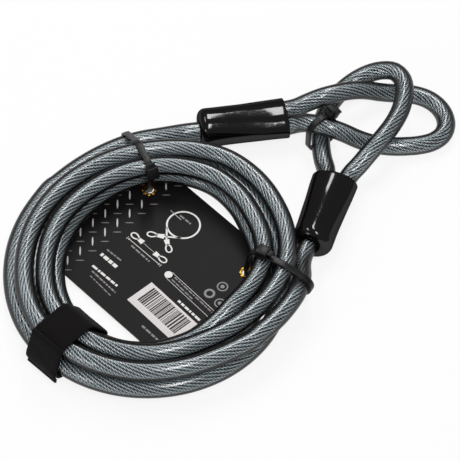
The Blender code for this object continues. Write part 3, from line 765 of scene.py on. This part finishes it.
class TrimSettings(bpy.types.PropertyGroup):
    """Sizes and colours of the ties, the strap and the card."""

    tie_edge: FloatProperty(
        name="Tie edge", description="Rounding of a tie's edges", default=0.0003, unit="LENGTH"
    )
    tie_colour: hue("Tie", "Colour of the ties", "#090707")
    fibres: IntProperty(name="Fibres", description="Loose fibres on the strap's band", default=900, min=0)
    strap_colour: hue("Strap", "Colour of the strap", "#0e090b")
    card_colour: hue("Card", "Colour of the card's ink", "#141112")
    brass_colour: hue("Brass", "Colour of the eyelets", "#d9a441")


class StageSettings(bpy.types.PropertyGroup):
    """The camera and the lights."""

    elevation: FloatProperty(
        name="Elevation", description="How far the camera looks down", default=math.radians(54), subtype="ANGLE"
    )
    distance: FloatProperty(
        name="Distance", description="From the camera to the coil's centre", default=1.444, unit="LENGTH"
    )
    lamp_power: FloatProperty(
        name="Lamp power", description="Power on which each lamp's share is based", default=2.8, unit="POWER"
    )
    sky: FloatProperty(name="Sky", description="Strength of the light from all round", default=0.28, min=0)


# ---- Cable ----


def jacket(name, node, line, settings):
    path = spline(line, JACKET_STEP)
    bm = bmesh.new()
    lay_grid(bm, tube_rings(placed(path), CABLE_D / 2 * MM, JACKET_SIDES), uv_length=length_of(path))
    obj = finished(name, bm, [material("pvc_extruded_clear", clear_pvc, settings)], BODY)
    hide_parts(node)
    path = placed(path)


class CABLE_OT_jackets(bpy.types.Operator):
    """Make the clear jackets of the coil and of the two eyes"""

    bl_idname = "cable.jackets"
    bl_label = "Jackets"

    def execute(self, context):
        settings = context.scene.cable_settings
        jacket("coil_cover", "coil_jacket", main_line(), settings)
        jacket("eye_a_cover", "eye_a_jacket", END_A.eye_line(), settings)
        jacket("eye_b_cover", "eye_b_jacket", END_B.eye_line(), settings)
        return {"FINISHED"}


def rope_radius(path, seen):
    """The rope's drawn radius: as wide as the jacket shows it, and its true width inside the ferrules."""
    radius = np.full(len(path), seen)
    narrowing, widening = 6.0, 4.0  # lengths in which the width changes, at the entry and at the mouth
    for end in (END_A, END_B):
        offset = path - end.start
        along = offset @ end.along
        side = np.linalg.norm(offset - np.outer(along, end.along), axis=1)
        inside = (side < SLEEVE_MOUTH_HALF_W) & (along > 0) & (along < SLEEVE_LENGTH)
        entered = (along - JACKET_CUT_IN) / narrowing
        left = (SLEEVE_LENGTH - JACKET_CUT_OUT - along) / widening
        share = eased(np.clip(np.minimum(entered, left), 0, 1))
        radius = np.where(inside, seen + (ROPE_R - seen) * share, radius)
    return radius


class CABLE_OT_rope(bpy.types.Operator):
    """Make the steel rope, laid right-handed from twisted strands"""

    bl_idname = "cable.rope"
    bl_label = "Rope"

    def execute(self, context):
        settings = context.scene.cable_settings
        path = spline(rope_line(), ROPE_STEP)
        radius = rope_radius(path, settings.seen_radius / MM)
        # A strand's outline, from its groove over its crown, on a circle of touching strands.
        half = math.pi / settings.strands
        ring = 1 / (1 + math.sin(half))
        bulge = [
            ring * math.cos(a) + math.sqrt(max((ring * math.sin(half)) ** 2 - (ring * math.sin(a)) ** 2, 0.0))
            for a in (-half, -half / 2, 0.0, half / 2)
        ]
        profile = np.array(bulge * settings.strands)
        run = runs(path)
        turn = run / (settings.lay / MM) * math.tau
        t = (turn[:, None] + round_angles(len(profile)))[..., None]
        side, up = (way[:, None] for way in carried(path))
        size = (radius[:, None] * profile[None])[..., None]
        rings = path[:, None] + np.cos(t) * size * side + np.sin(t) * size * up
        bm = bmesh.new()
        lay_grid(bm, placed(rings), sharp_every=len(bulge), uv_length=float(run[-1]))
        steel = material("steel_wire_galvanised", galvanised_steel, settings)
        obj = finished("laid_rope", bm, [steel], BODY)
        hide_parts("wire_rope")
        return {"FINISHED"}


def sleeve_size(along):
    """Half the width and half the height. The ferrule's end bulges a little sideways."""
    t = eased(clamped(along / SLEEVE_LENGTH))
    waist = SLEEVE_WAIST * math.sin(math.pi * along / SLEEVE_LENGTH)
    wide = SLEEVE_ROUND_R + SLEEVE_BULGE
    return (
        wide + (SLEEVE_MOUTH_HALF_W - wide) * t - waist,
        SLEEVE_ROUND_R + (SLEEVE_MOUTH_HALF_H - SLEEVE_ROUND_R) * t - waist,
    )


def sleeve_rows(hole_offset):
    """Where each ring lies, its half sizes and its shift, from the hole over the outside and back within."""
    hole = CABLE_D / 2 + HOLE_CLEARANCE

    def row(along, pull, at=None):
        w, h = sleeve_size(along if at is None else at)
        return along, w - pull, h - pull, 0.0

    rows = [(0.0, hole, hole, hole_offset)]
    for t in map(math.radians, np.linspace(14, 90, 9)):
        rows.append(row(SLEEVE_SHOULDER * (1 - math.cos(t)), SLEEVE_SHOULDER * (1 - math.sin(t))))
    rows += [row(along, 0.0) for along in np.linspace(SLEEVE_SHOULDER, SLEEVE_LENGTH - SLEEVE_LIP, 22)[1:]]
    for t in map(math.radians, (30, 60, 90)):
        along = SLEEVE_LENGTH - SLEEVE_LIP + SLEEVE_LIP * math.sin(t)
        rows.append(row(along, SLEEVE_LIP * (1 - math.cos(t)), SLEEVE_LENGTH))
    inner_end = SLEEVE_SHOULDER + SLEEVE_WALL
    rows += [row(along, SLEEVE_WALL) for along in np.linspace(SLEEVE_LENGTH, inner_end, 14)]
    rows.append(row(SLEEVE_WALL + 0.4, SLEEVE_WALL + SLEEVE_SHOULDER / 2, SLEEVE_SHOULDER))
    rows.append((SLEEVE_WALL, hole, hole, hole_offset))
    return rows


def sleeve(name, node, end, settings, seed):
    angles = round_angles(SLEEVE_SIDES)
    shaken = random.Random(seed)
    lumps = [(shaken.uniform(0, math.tau), shaken.uniform(0, math.tau)) for _ in range(3)]
    rings = []
    for along, half_w, half_h, across in sleeve_rows(end.hole_offset):
        # The dipped skin is never quite even, and swells a little over the ferrule.
        inside = clamped((along - SWELL_START) / SWELL_RISE) * clamped((SLEEVE_LENGTH - along) / SWELL_FALL)
        swell = inside * sum(
            SWELL * math.sin(along / SWELL_LENGTH * (k + 1) + a) * np.sin(angles * (k + 2) + b)
            for k, (a, b) in enumerate(lumps)
        )
        rings.append([
            end.at(along, across + (half_w + e) * math.cos(t), (half_h + e) * math.sin(t))
            for t, e in zip(angles, swell)
        ])
    bm = bmesh.new()
    lay_grid(bm, placed(rings), loop=True)
    obj = finished(name, bm, [material("vinyl_dipped_black", dipped_vinyl, settings)], BODY)
    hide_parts(node)


class CABLE_OT_sleeves(bpy.types.Operator):
    """Make the two vinyl sleeves and finish the ferrules inside them"""

    bl_idname = "cable.sleeves"
    bl_label = "Sleeves"

    def execute(self, context):
        settings = context.scene.cable_settings
        sleeve("dipped_sleeve_a", "sleeve_a", END_A, settings, 3)
        sleeve("dipped_sleeve_b", "sleeve_b", END_B, settings, 8)
        for node in ("ferrule_a", "ferrule_b"):
            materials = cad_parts[node].data.materials
            materials.clear()
            materials.append(material("aluminium_pressed", pressed_aluminium))
        return {"FINISHED"}


# ---- Ties and strap ----


def block(bm, size, edge, matrix, slotted=False):
    """A box with rounded edges, whose two ends can have a slot sunk into them."""
    scale = Matrix.Diagonal((*(Vector(size) * MM), 1.0))
    made = bmesh.ops.create_cube(bm, size=1.0, matrix=matrix @ scale)["verts"]
    edges = list(dict.fromkeys(e for v in made for e in v.link_edges))
    rounded = bmesh.ops.bevel(
        bm, geom=edges, offset=edge * MM, segments=2, profile=0.5, affect="EDGES", material=-1
    )["faces"]
    if not slotted:
        return
    way = matrix.col[0].xyz
    faces = dict.fromkeys(f for r in rounded for v in r.verts for f in v.link_faces)
    ends = [f for f in faces if abs(f.normal.dot(way)) > 0.99 and f.calc_area() > 4 * MM * MM]
    for face in ends:
        bmesh.ops.inset_region(bm, faces=[face], thickness=HEAD_RIM * MM, use_even_offset=True)
        bmesh.ops.translate(bm, vec=-face.normal * HEAD_SLOT * MM, verts=face.verts)


def tie(name, node, lines, centre, turn, reach, head_at, extra, settings):
    """A zip tie round what a slab across the lines holds, with its head and cut end nearest to head_at."""
    points = np.vstack([section(lines, np.array(centre), turn, BAND_W / 2 + GAP, *reach), *extra])
    path = closed_path(grown(points, TIE_GAP + BAND_T / 2), TIE_SIDES)
    outline = rounded_bar(BAND_W, BAND_T, settings.tie_edge / MM)
    bm = bmesh.new()
    lay_grid(bm, band_rings(smooth_loop(path, 4), centre, turn, outline), loop=True)
    i = int(np.argmin(np.linalg.norm(path - np.array(head_at), axis=1)))
    rise = unit(path[(i + 1) % TIE_SIDES] - path[i - 1])
    out, across = heading(turn), heading(turn + 90)
    along = out * rise[0] + UP * rise[1]
    off = out * rise[1] - UP * rise[0]
    base = np.array([*centre, 0.0]) + out * path[i][0] + UP * path[i][1]

    def matrix(shift_along, shift_off):
        where = Vector(placed(base + along * shift_along + off * shift_off))
        return Matrix.Translation(where) @ Matrix((along, -across, off)).transposed().to_4x4()

    outer = BAND_T / 2 - HEAD_SINK
    block(bm, HEAD_SIZE, HEAD_EDGE, matrix(0, HEAD_SIZE[2] / 2 + outer), slotted=True)
    stub = (STUB_LENGTH + HEAD_SIZE[0] / 2, BAND_W, BAND_T)
    height = HEAD_SIZE[2] + outer - STUB_SINK - BAND_T / 2
    block(bm, stub, STUB_EDGE, matrix(-stub[0] / 2, height))
    for k in range(4):
        at = -HEAD_SIZE[0] / 2 - 0.45 - TOOTH_STEP * k
        block(bm, TOOTH, TOOTH_EDGE, matrix(at, height + BAND_T / 2 + 0.02))
    obj = finished(name, bm, [material("nylon_moulded_black", moulded_nylon, settings)], BODY)
    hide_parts(node)


class CABLE_OT_ties(bpy.types.Operator):
    """Make the three zip ties that hold the coil to the card and the eyes together"""

    bl_idname = "cable.ties"
    bl_label = "Zip ties"

    def execute(self, context):
        settings = context.scene.trim_settings
        main, eyes = [main_line()], [END_A.eye_line(), END_B.eye_line()]
        below = CARD_BOTTOM - EYELET_DROP
        reach = BAND_T / 2 + TIE_GAP
        under_card = [[(reach, below), (reach, CARD_BOTTOM + GAP), (CARD_RUN, below)]]
        outwards = (-CABLE_D, math.inf)
        crossing = (-1.3 * CABLE_D, 1.3 * CABLE_D)
        top_hole = card_point(EYELET_ALONG, -EYELET_ACROSS, 0)[:2]
        side_hole = card_point(EYELET_ALONG, EYELET_ACROSS, 0)[:2]
        tie("zip_top", "top_tie", main, top_hole, 112.0, outwards, (-1.0, 21.0), under_card, settings)
        tie("zip_side", "side_tie", main, side_hole, -31.0, outwards, (8.0, 24.0), under_card, settings)
        tie("zip_eyes", "eye_tie", eyes, (89.5, 90.9), 36.0, crossing, (5.0, 22.0), [], settings)
        return {"FINISHED"}


def fibre(bm, base, along, normal, length, lean, width):
    """A loose loop of yarn: three sides round and five points long."""
    path = np.array([
        base + normal * length * math.sin(t) * 0.5 + along * lean * (1 - math.cos(t)) * 0.5
        for t in np.linspace(0.0, math.pi * 0.8, 5)
    ])
    lay_grid(bm, tube_rings(path, width, 3))


def strap_paths():
    points = section([main_line()], np.zeros(2), STRAP_TURN, STRAP_W / 2 + GAP, 0.0)
    band = closed_path(grown(points, STRAP_GAP + STRAP_T / 2), STRAP_SIDES)
    outer = closed_path(grown(points, STRAP_GAP + STRAP_T * 1.5 + TAIL_GAP), 2 * STRAP_SIDES)
    far, top = outer.max(axis=0)
    kept = [p for p in outer if p[0] > far - TAIL_DEPTH and TAIL_FLOOR < p[1] < top - TAIL_TOP]
    kept.sort(key=lambda p: -p[1])
    run = np.array(kept + [kept[-1] + np.array(step) for step in TAIL_TIP])
    return smooth_loop(band, 5), spline(run, 0.8)


def tape(name, node, path, loop, body, count, seed, settings):
    """Woven tape along a path: its surface waves a little, and loose fibres stand mostly along its selvedges."""
    outline = rounded_bar(STRAP_W, STRAP_T, STRAP_EDGE, steps=2, across=10)
    shaken = random.Random(seed)
    # Four are drawn and the two waves use the first two. The fibres take the draws after them.
    phases = [shaken.uniform(0, math.tau) for _ in range(4)]
    n = len(path)
    run = (np.arange(n) / n * math.tau * (1 if loop else 0.7))[:, None]
    across = outline[:, 0] / STRAP_W * math.tau
    wave = sum(
        height * np.sin(number * run + across * slant + phase)
        for (height, number, slant), phase in zip(TAPE_WAVES, phases)
    )
    rings = band_rings(path, np.zeros(2), STRAP_TURN, outline, loop, wave * (1 if loop else 0.5))
    bm = bmesh.new()
    length = length_of(np.vstack([path, path[:1]]) if loop else path)
    lay_grid(bm, rings, loop=loop, uv_length=length)
    for _ in range(count):
        i, j = shaken.randrange(n), shaken.randrange(len(outline))
        edge = abs(outline[j, 0]) > SELVEDGE
        if not edge and shaken.random() < FIBRE_SKIPPED:
            continue
        base = rings[i][j]
        out = base - rings[i].mean(axis=0)
        along = unit((rings[(i + 1) % n] if loop or i + 1 < n else rings[i - 1])[j] - base)
        flat = unit(np.cross(along, heading(STRAP_TURN + 90)))
        normal = unit(flat * (-1 if flat @ out < 0 else 1) + unit(out) * (1.2 if edge else 0.1))
        lean, high = shaken.uniform(-FIBRE_LEAN, FIBRE_LEAN) * MM, shaken.uniform(*FIBRE_LENGTH) * MM
        fibre(bm, base - normal * FIBRE_SUNK * MM, along, normal, high, lean, FIBRE_R * MM)
    obj = finished(name, bm, [material("nylon_tape_woven", woven_tape, settings)], body)
    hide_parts(node)


class CABLE_OT_strap(bpy.types.Operator):
    """Make the hook-and-loop strap and its free end"""

    bl_idname = "cable.strap"
    bl_label = "Strap"

    def execute(self, context):
        settings = context.scene.trim_settings
        band, tail = strap_paths()
        tape("tape_band", "strap_band", band, True, BODY, settings.fibres, 5, settings)
        tape("tape_tail", "strap_tail", tail, False, TAIL_BODY, settings.fibres // 3, 6, settings)
        return {"FINISHED"}


# ---- Card ----
# Points of the print are pairs in the card's own axes, along and across.

# Lines of small print: start, end, height and seed.
WHITE_LINES = (
    ((-20.0, -23.0), (-19.8, -10.4), 2.0, 1), ((-28.2, -20.5), (-27.7, -2.3), 1.3, 2),
    ((-11.3, 25.5), (-11.8, 42.0), 1.3, 3),
)
GREY_LINES = (
    ((-15.9, -23.0), (-15.4, -12.9), 0.8, 4), ((-5.0, -16.3), (-5.2, -2.5), 0.9, 5),
    ((26.7, -13.4), (26.9, -5.6), 1.0, 6), ((-30.7, -18.1), (-31.2, 0.1), 0.9, 7),
    ((-33.4, -16.5), (-34.3, -0.3), 0.6, 8), ((-2.6, 13.6), (-3.9, 43.0), 0.7, 9),
    ((-4.6, 13.6), (-5.4, 30.0), 0.7, 10), ((-35.3, 24.4), (-35.6, 41.4), 1.1, 11),
)


def patch(bm, pairs, index=0):
    """A flat printed shape from its outline."""
    corners = [bm.verts.new(placed(card_point(u, v, INK_HEIGHT))) for u, v in pairs]
    face = bmesh.ops.contextual_create(bm, geom=corners)["faces"][0]
    face.material_index = index
    face.normal_update()
    if face.normal.z < 0:
        face.normal_flip()


def ribbon(bm, pairs, width, loop=False):
    """A printed line of one width along points."""
    path = np.array(pairs, float)
    tangent = directions(path, loop)
    side = np.c_[-tangent[:, 1], tangent[:, 0]] * width / 2
    for i in range(len(path) if loop else len(path) - 1):
        j = (i + 1) % len(path)
        patch(bm, [path[i] - side[i], path[j] - side[j], path[j] + side[j], path[i] + side[i]])


def small_print(bm, start, end, height, seed):
    """A line of print too small to read, as a row of short bars."""
    shaken = random.Random(seed)
    start, end = np.array(start, float), np.array(end, float)
    total = np.linalg.norm(end - start)
    along = (end - start) / total
    at = 0.0
    while at < total:
        word = min(shaken.uniform(1.2, 3.6), total - at)
        if word > 0.4:
            ribbon(bm, [start + along * at, start + along * (at + word)], height)
        at += word + shaken.uniform(0.5, 0.8)


def lens(bm, centre, direction, length, width, index):
    """A pointed oval, as one raised bar of tread plate looks."""
    along = unit(direction)
    side = np.array([-along[1], along[0]])
    angles = np.linspace(0, math.pi, 7)
    half = [(along * math.cos(a) * length / 2, side * math.sin(a) * width / 2) for a in angles]
    patch(bm, [centre - x + y for x, y in half[::-1]] + [centre - x - y for x, y in half[1:-1]], index)


def eye_mark(bm, tip, collar):
    """A drawn eye and sleeve: a drop-shaped loop that ends in a filled block."""
    tip, collar = np.array(tip), np.array(collar)
    along = unit(collar - tip)
    side = np.array([-along[1], along[0]])
    drop = []
    for t in round_angles(24):
        reach = LOOP_DRAWN / 2 * (1 - math.cos(t))
        narrow = 1 - 0.3 * (1 - math.cos(t)) / 2
        drop.append(tip + along * (0.4 + reach * 0.93) + side * 1.75 * math.sin(t) * narrow)
    ribbon(bm, drop, 0.75, True)
    first = tip + along * (LOOP_DRAWN - 0.3)
    patch(bm, [first - side * 1.0, collar - side * 1.5, collar + side * 1.5, first + side * 1.0])


def printed(name, bm, inks, lift=0.0):
    """Gives the printed shapes their thickness and makes them one piece."""
    bmesh.ops.remove_doubles(bm, verts=bm.verts, dist=1e-8)
    made = bmesh.ops.extrude_face_region(bm, geom=list(bm.faces))["geom"]
    lowered = [v for v in made if isinstance(v, bmesh.types.BMVert)]
    bmesh.ops.translate(bm, vec=(0, 0, -INK_THICK * MM), verts=lowered)
    bmesh.ops.translate(bm, vec=(0, 0, lift * MM), verts=bm.verts)
    obj = finished(name, bm, [material(ink, offset_ink, code) for ink, code in inks], BODY, smooth=False)


class CABLE_OT_card(bpy.types.Operator):
    """Finish the card and lay its print on it: a tread-plate strip, drawings and a bar panel, with no words"""

    bl_idname = "cable.card"
    bl_label = "Card"

    def execute(self, context):
        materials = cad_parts["card"].data.materials
        materials.clear()
        materials.append(material("board_printed_black", coated_board, context.scene.trim_settings))
        self.tread_plate()
        self.white_print()
        self.grey_print()
        self.panel()
        return {"FINISHED"}

    def tread_plate(self):
        bm = bmesh.new()
        u, v = heading(CARD_TURN)[:2], heading(CARD_TURN - 90)[:2]
        for j in range(-3, 14):
            for i in range(-10, 10):
                x, y = TREAD_START[0] + i * TREAD_STEP[0], TREAD_START[1] - j * TREAD_STEP[1]
                offset = np.array([x, y]) - CARD_CENTRE
                a, b = float(offset @ u), float(offset @ v)
                if abs(a) >= TREAD_ALONG or not TREAD_ACROSS[0] < b < TREAD_ACROSS[1]:
                    continue
                if math.hypot(a - EYELET_ALONG, b + EYELET_ACROSS) < EYELET_ROOM:
                    continue
                dim = (i + j) % 2
                lens(bm, np.array([a, b]), (u[1 - dim], v[1 - dim]), *TREAD_BARS[dim], dim)
        printed("print_tread_plate", bm, [("ink_pale_grey", "#cfcecc"), ("ink_dim_grey", "#7d7b79")])

    def white_print(self):
        """The coil with its crossing ends, two eyes on a dotted line with a length marked, and lines of print."""
        bm = bmesh.new()
        ribbon(bm, circle((23.7, -7.7), 8.6, 40), 0.95, True)
        for tip, collar, lead in (
            ((6.0, -16.7), (11.3, -9.0), (17.2, -2.4)),
            ((6.2, 0.6), (10.8, -6.8), (16.4, -12.6)),
        ):
            eye_mark(bm, tip, collar)
            middle = ((collar[0] + lead[0]) / 2, (collar[1] + lead[1]) / 2 + 0.1)
            ribbon(bm, spline([collar, middle, lead], 1.0), 0.9)
        eye_mark(bm, (0.6, -22.3), (0.6, -13.6))
        eye_mark(bm, (0.8, 3.9), (0.4, -4.8))
        for k in range(8):
            patch(bm, circle((0.55, -12.7 + 1.0 * k), 0.24, 8))
        for (x, y), way in (((-3.0, -21.4), 1), ((-2.8, 3.2), -1)):
            ribbon(bm, [(x - 0.9, y), (x + 0.9, y)], 0.25)
            patch(bm, [(x, y), (x + 0.6, y + way * 1.5), (x - 0.6, y + way * 1.5)])
        patch(bm, circle((-3.7, 10.2), 2.1, 28))
        for start, end, width in (
            ((-3.0, -21.4), (-2.8, 3.2), 0.3), ((25.3, -19.1), (25.1, -10.9), 0.22),
            ((-1.4, 10.6), (-2.6, 47.4), 0.22), ((-6.0, 10.2), (-7.4, 47.4), 0.22),
        ):
            ribbon(bm, [start, end], width)
        for line in WHITE_LINES:
            small_print(bm, *line)
        printed("print_white", bm, [("ink_white", "#ecebe8")])

    def grey_print(self):
        """Lines of smaller print, and three rings."""
        bm = bmesh.new()
        for line in GREY_LINES:
            small_print(bm, *line)
        for centre in ((11.2, 34.5), (3.0, 41.1)):
            ribbon(bm, circle(centre, 2.6, 28), 0.7, True)
            patch(bm, circle(centre, 1.1, 28))
        ribbon(bm, circle((3.4, 33.1), 2.3, 24), 1.2, True)
        printed("print_grey", bm, [("ink_grey", "#8b8988")])

    def panel(self):
        """A pale panel with plain bars of chance widths, and no digits."""
        corner = np.array([-13.3, 7.9])
        across = unit(np.array([-29.9, 7.3]) - corner)
        along = unit(np.array([-14.2, 42.6]) - corner)
        height, length = PANEL_SIZE
        far = corner + across * height
        bm = bmesh.new()
        patch(bm, [corner, far, far + along * length, corner + along * length])
        printed("print_panel", bm, [("ink_panel", "#e2dcdc")])
        bm = bmesh.new()
        shaken = random.Random(12)
        at = 3.4
        while at < length - 3.6:
            wide = shaken.choice((0.4, 0.4, 0.75, 1.1))
            first = corner + across * 1.4 + along * (at + wide / 2)
            ribbon(bm, [first, first + across * 11.3], wide)
            at += wide + shaken.choice((0.35, 0.35, 0.35, 0.7))
        printed("print_bars", bm, [("ink_black", "#151313")], lift=0.03)


def eyelet(name, node, side, settings):
    """A brass eyelet: a flange under the card, and a tube split and curled over into petals on top of it."""
    top, bottom = CARD_TOP + GAP, CARD_BOTTOM - GAP
    t = round_angles(EYELET_SIDES)
    # Each petal is full at its middle and narrow where the tube split.
    lobe = np.abs(np.cos(t * EYELET_PETALS / 2)) ** 0.6
    tip = 3.05 + 1.3 * lobe
    curl = 0.15 * lobe
    rings = []
    for z, radius in (
        (bottom - 0.4, 2.55), (bottom - 0.4, 4.2), (bottom - 0.3, 4.32), (bottom - 0.1, 4.34),
        (bottom, 4.25), (bottom, 2.9), (top, 2.9), (top - curl * 0.6, tip - 0.12), (top + 0.06 - curl, tip),
        (top + 0.2 - curl * 0.6, tip - 0.08), (top + 0.36, 3.0 + 0.5 * lobe), (top + 0.4, 2.85),
        (top + 0.3, 2.62), (top + 0.1, 2.5),
    ):
        rings.append([
            card_point(EYELET_ALONG + a * math.cos(s), side * EYELET_ACROSS + a * math.sin(s), h)
            for a, s, h in zip(np.broadcast_to(radius, len(t)), t, np.broadcast_to(z, len(t)))
        ])
    bm = bmesh.new()
    lay_grid(bm, placed(rings), loop=True)
    obj = finished(name, bm, [material("brass_stamped", stamped_brass, settings)], BODY)
    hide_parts(node)


class CABLE_OT_eyelets(bpy.types.Operator):
    """Make the two brass eyelets, set with their petals up"""

    bl_idname = "cable.eyelets"
    bl_label = "Eyelets"

    def execute(self, context):
        settings = context.scene.trim_settings
        eyelet("petal_eyelet_top", "eyelet_top", -1, settings)
        eyelet("petal_eyelet_side", "eyelet_side", 1, settings)
        return {"FINISHED"}


# ---- Stage ----

LENS = 221.24
FRAME_MIDDLE = (40.418, 34.587)  # the floor's point in the middle of the frame, from the coil's centre
FLOOR_HALF = 3.0
# Each lamp's direction and distance, its size and its share of the power. The three narrow strips overhead draw
# the soft lines along the turns and the marks on the sleeves.
LAMPS = (
    ("strip_back", (0.07, 0.6, 0.8), (0.11, 0.5), 1.05),
    ("strip_middle", (0.14, -0.35, 0.93), (0.13, 0.45), 1.25),
    ("strip_left", (-0.45, 0.3, 0.84), (0.14, 0.5), 0.75),
    ("lamp_front", (-0.75, -0.75, 0.5), (0.3, 0.3), 0.5),
)


class CABLE_OT_stage(bpy.types.Operator):
    """Set the camera, the pale floor and the studio lights"""

    bl_idname = "cable.stage"
    bl_label = "Stage"

    def execute(self, context):
        settings = context.scene.stage_settings
        scene = context.scene
        scene.view_settings.view_transform = "Standard"
        self.camera(scene, settings)
        self.floor(scene)
        self.lights(scene, settings)
        return {"FINISHED"}

    def camera(self, scene, settings):
        """The photograph's view: the coil's centre lies left of and below the middle of the frame."""
        centre = Vector((COIL_CENTRE[0] * MM, COIL_CENTRE[1] * MM, 0.0))
        down = settings.elevation
        ahead = Vector((0.0, math.cos(down), -math.sin(down)))
        made = bpy.data.cameras.new("camera")
        made.sensor_width = 36.0
        made.lens = LENS
        made.clip_end = 20.0
        obj = bpy.data.objects.new("camera", made)
        scene.collection.objects.link(obj)
        right = Vector((1.0, 0.0, 0.0))
        level = Matrix((right, right.cross(ahead), -ahead)).transposed()
        middle = Vector((*FRAME_MIDDLE, 0.0)) * MM + centre
        eye = centre - ahead * settings.distance
        turn = ahead.rotation_difference((middle - eye).normalized()).to_matrix()
        obj.matrix_world = Matrix.Translation(eye) @ (turn @ level).to_4x4()
        scene.camera = obj

    def floor(self, scene):
        bm = bmesh.new()
        bmesh.ops.create_grid(bm, x_segments=1, y_segments=1, size=FLOOR_HALF)
        mesh = bpy.data.meshes.new("floor")
        bm.to_mesh(mesh)
        bm.free()
        mesh.materials.append(material("paper_backdrop_white", backdrop_paper))
        obj = bpy.data.objects.new("floor", mesh)
        scene.collection.objects.link(obj)

    def lights(self, scene, settings):
        world = bpy.data.worlds.new("studio")
        world.use_nodes = True
        tree = world.node_tree
        tree.nodes.clear()
        sky = add(tree, "ShaderNodeBackground", {"Color": colour("#ffffff"), "Strength": settings.sky})
        add(tree, "ShaderNodeOutputWorld", {"Surface": sky})
        scene.world = world
        for name, way, size, share in LAMPS:
            light = bpy.data.lights.new(name, "AREA")
            light.shape = "RECTANGLE"
            light.size, light.size_y = size
            light.energy = settings.lamp_power * share
            obj = bpy.data.objects.new(name, light)
            scene.collection.objects.link(obj)
            where = Vector(way).normalized()
            side = Vector((0.0, 1.0, 0.0)).cross(where).normalized()
            turn = Matrix((side, where.cross(side), where)).transposed().to_4x4()
            obj.matrix_world = Matrix.Translation(where) @ turn


class CABLE_PT_panel(bpy.types.Panel):
    """Lists the steps that build the cable"""

    bl_idname = "CABLE_PT_panel"
    bl_label = "Security cable"
    bl_space_type = "VIEW_3D"
    bl_region_type = "UI"
    bl_category = "Cable"

    def draw(self, context):
        for group, _ in GROUPS:
            settings = getattr(context.scene, group)
            for name in settings.bl_rna.properties.keys():
                if name not in ("rna_type", "name"):
                    self.layout.prop(settings, name)
        for operator in OPERATORS:
            self.layout.operator(operator.bl_idname)


OPERATORS = (
    CABLE_OT_stage, CABLE_OT_jackets, CABLE_OT_rope, CABLE_OT_sleeves, CABLE_OT_ties, CABLE_OT_strap,
    CABLE_OT_card, CABLE_OT_eyelets,
)
GROUPS = (
    ("cable_settings", CableSettings), ("trim_settings", TrimSettings), ("stage_settings", StageSettings),
)


def register():
    for name, group in GROUPS:
        bpy.utils.register_class(group)
        setattr(bpy.types.Scene, name, PointerProperty(type=group))
    for made in (*OPERATORS, CABLE_PT_panel):
        bpy.utils.register_class(made)


def unregister():
    for made in reversed((*OPERATORS, CABLE_PT_panel)):
        bpy.utils.unregister_class(made)
    for name, group in reversed(GROUPS):
        delattr(bpy.types.Scene, name)
        bpy.utils.unregister_class(group)


def main():
    register()
    for operator in OPERATORS:
        group, name = operator.bl_idname.split(".")
        getattr(getattr(bpy.ops, group), name)()
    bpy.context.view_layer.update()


if __name__ == "__main__":
    main()
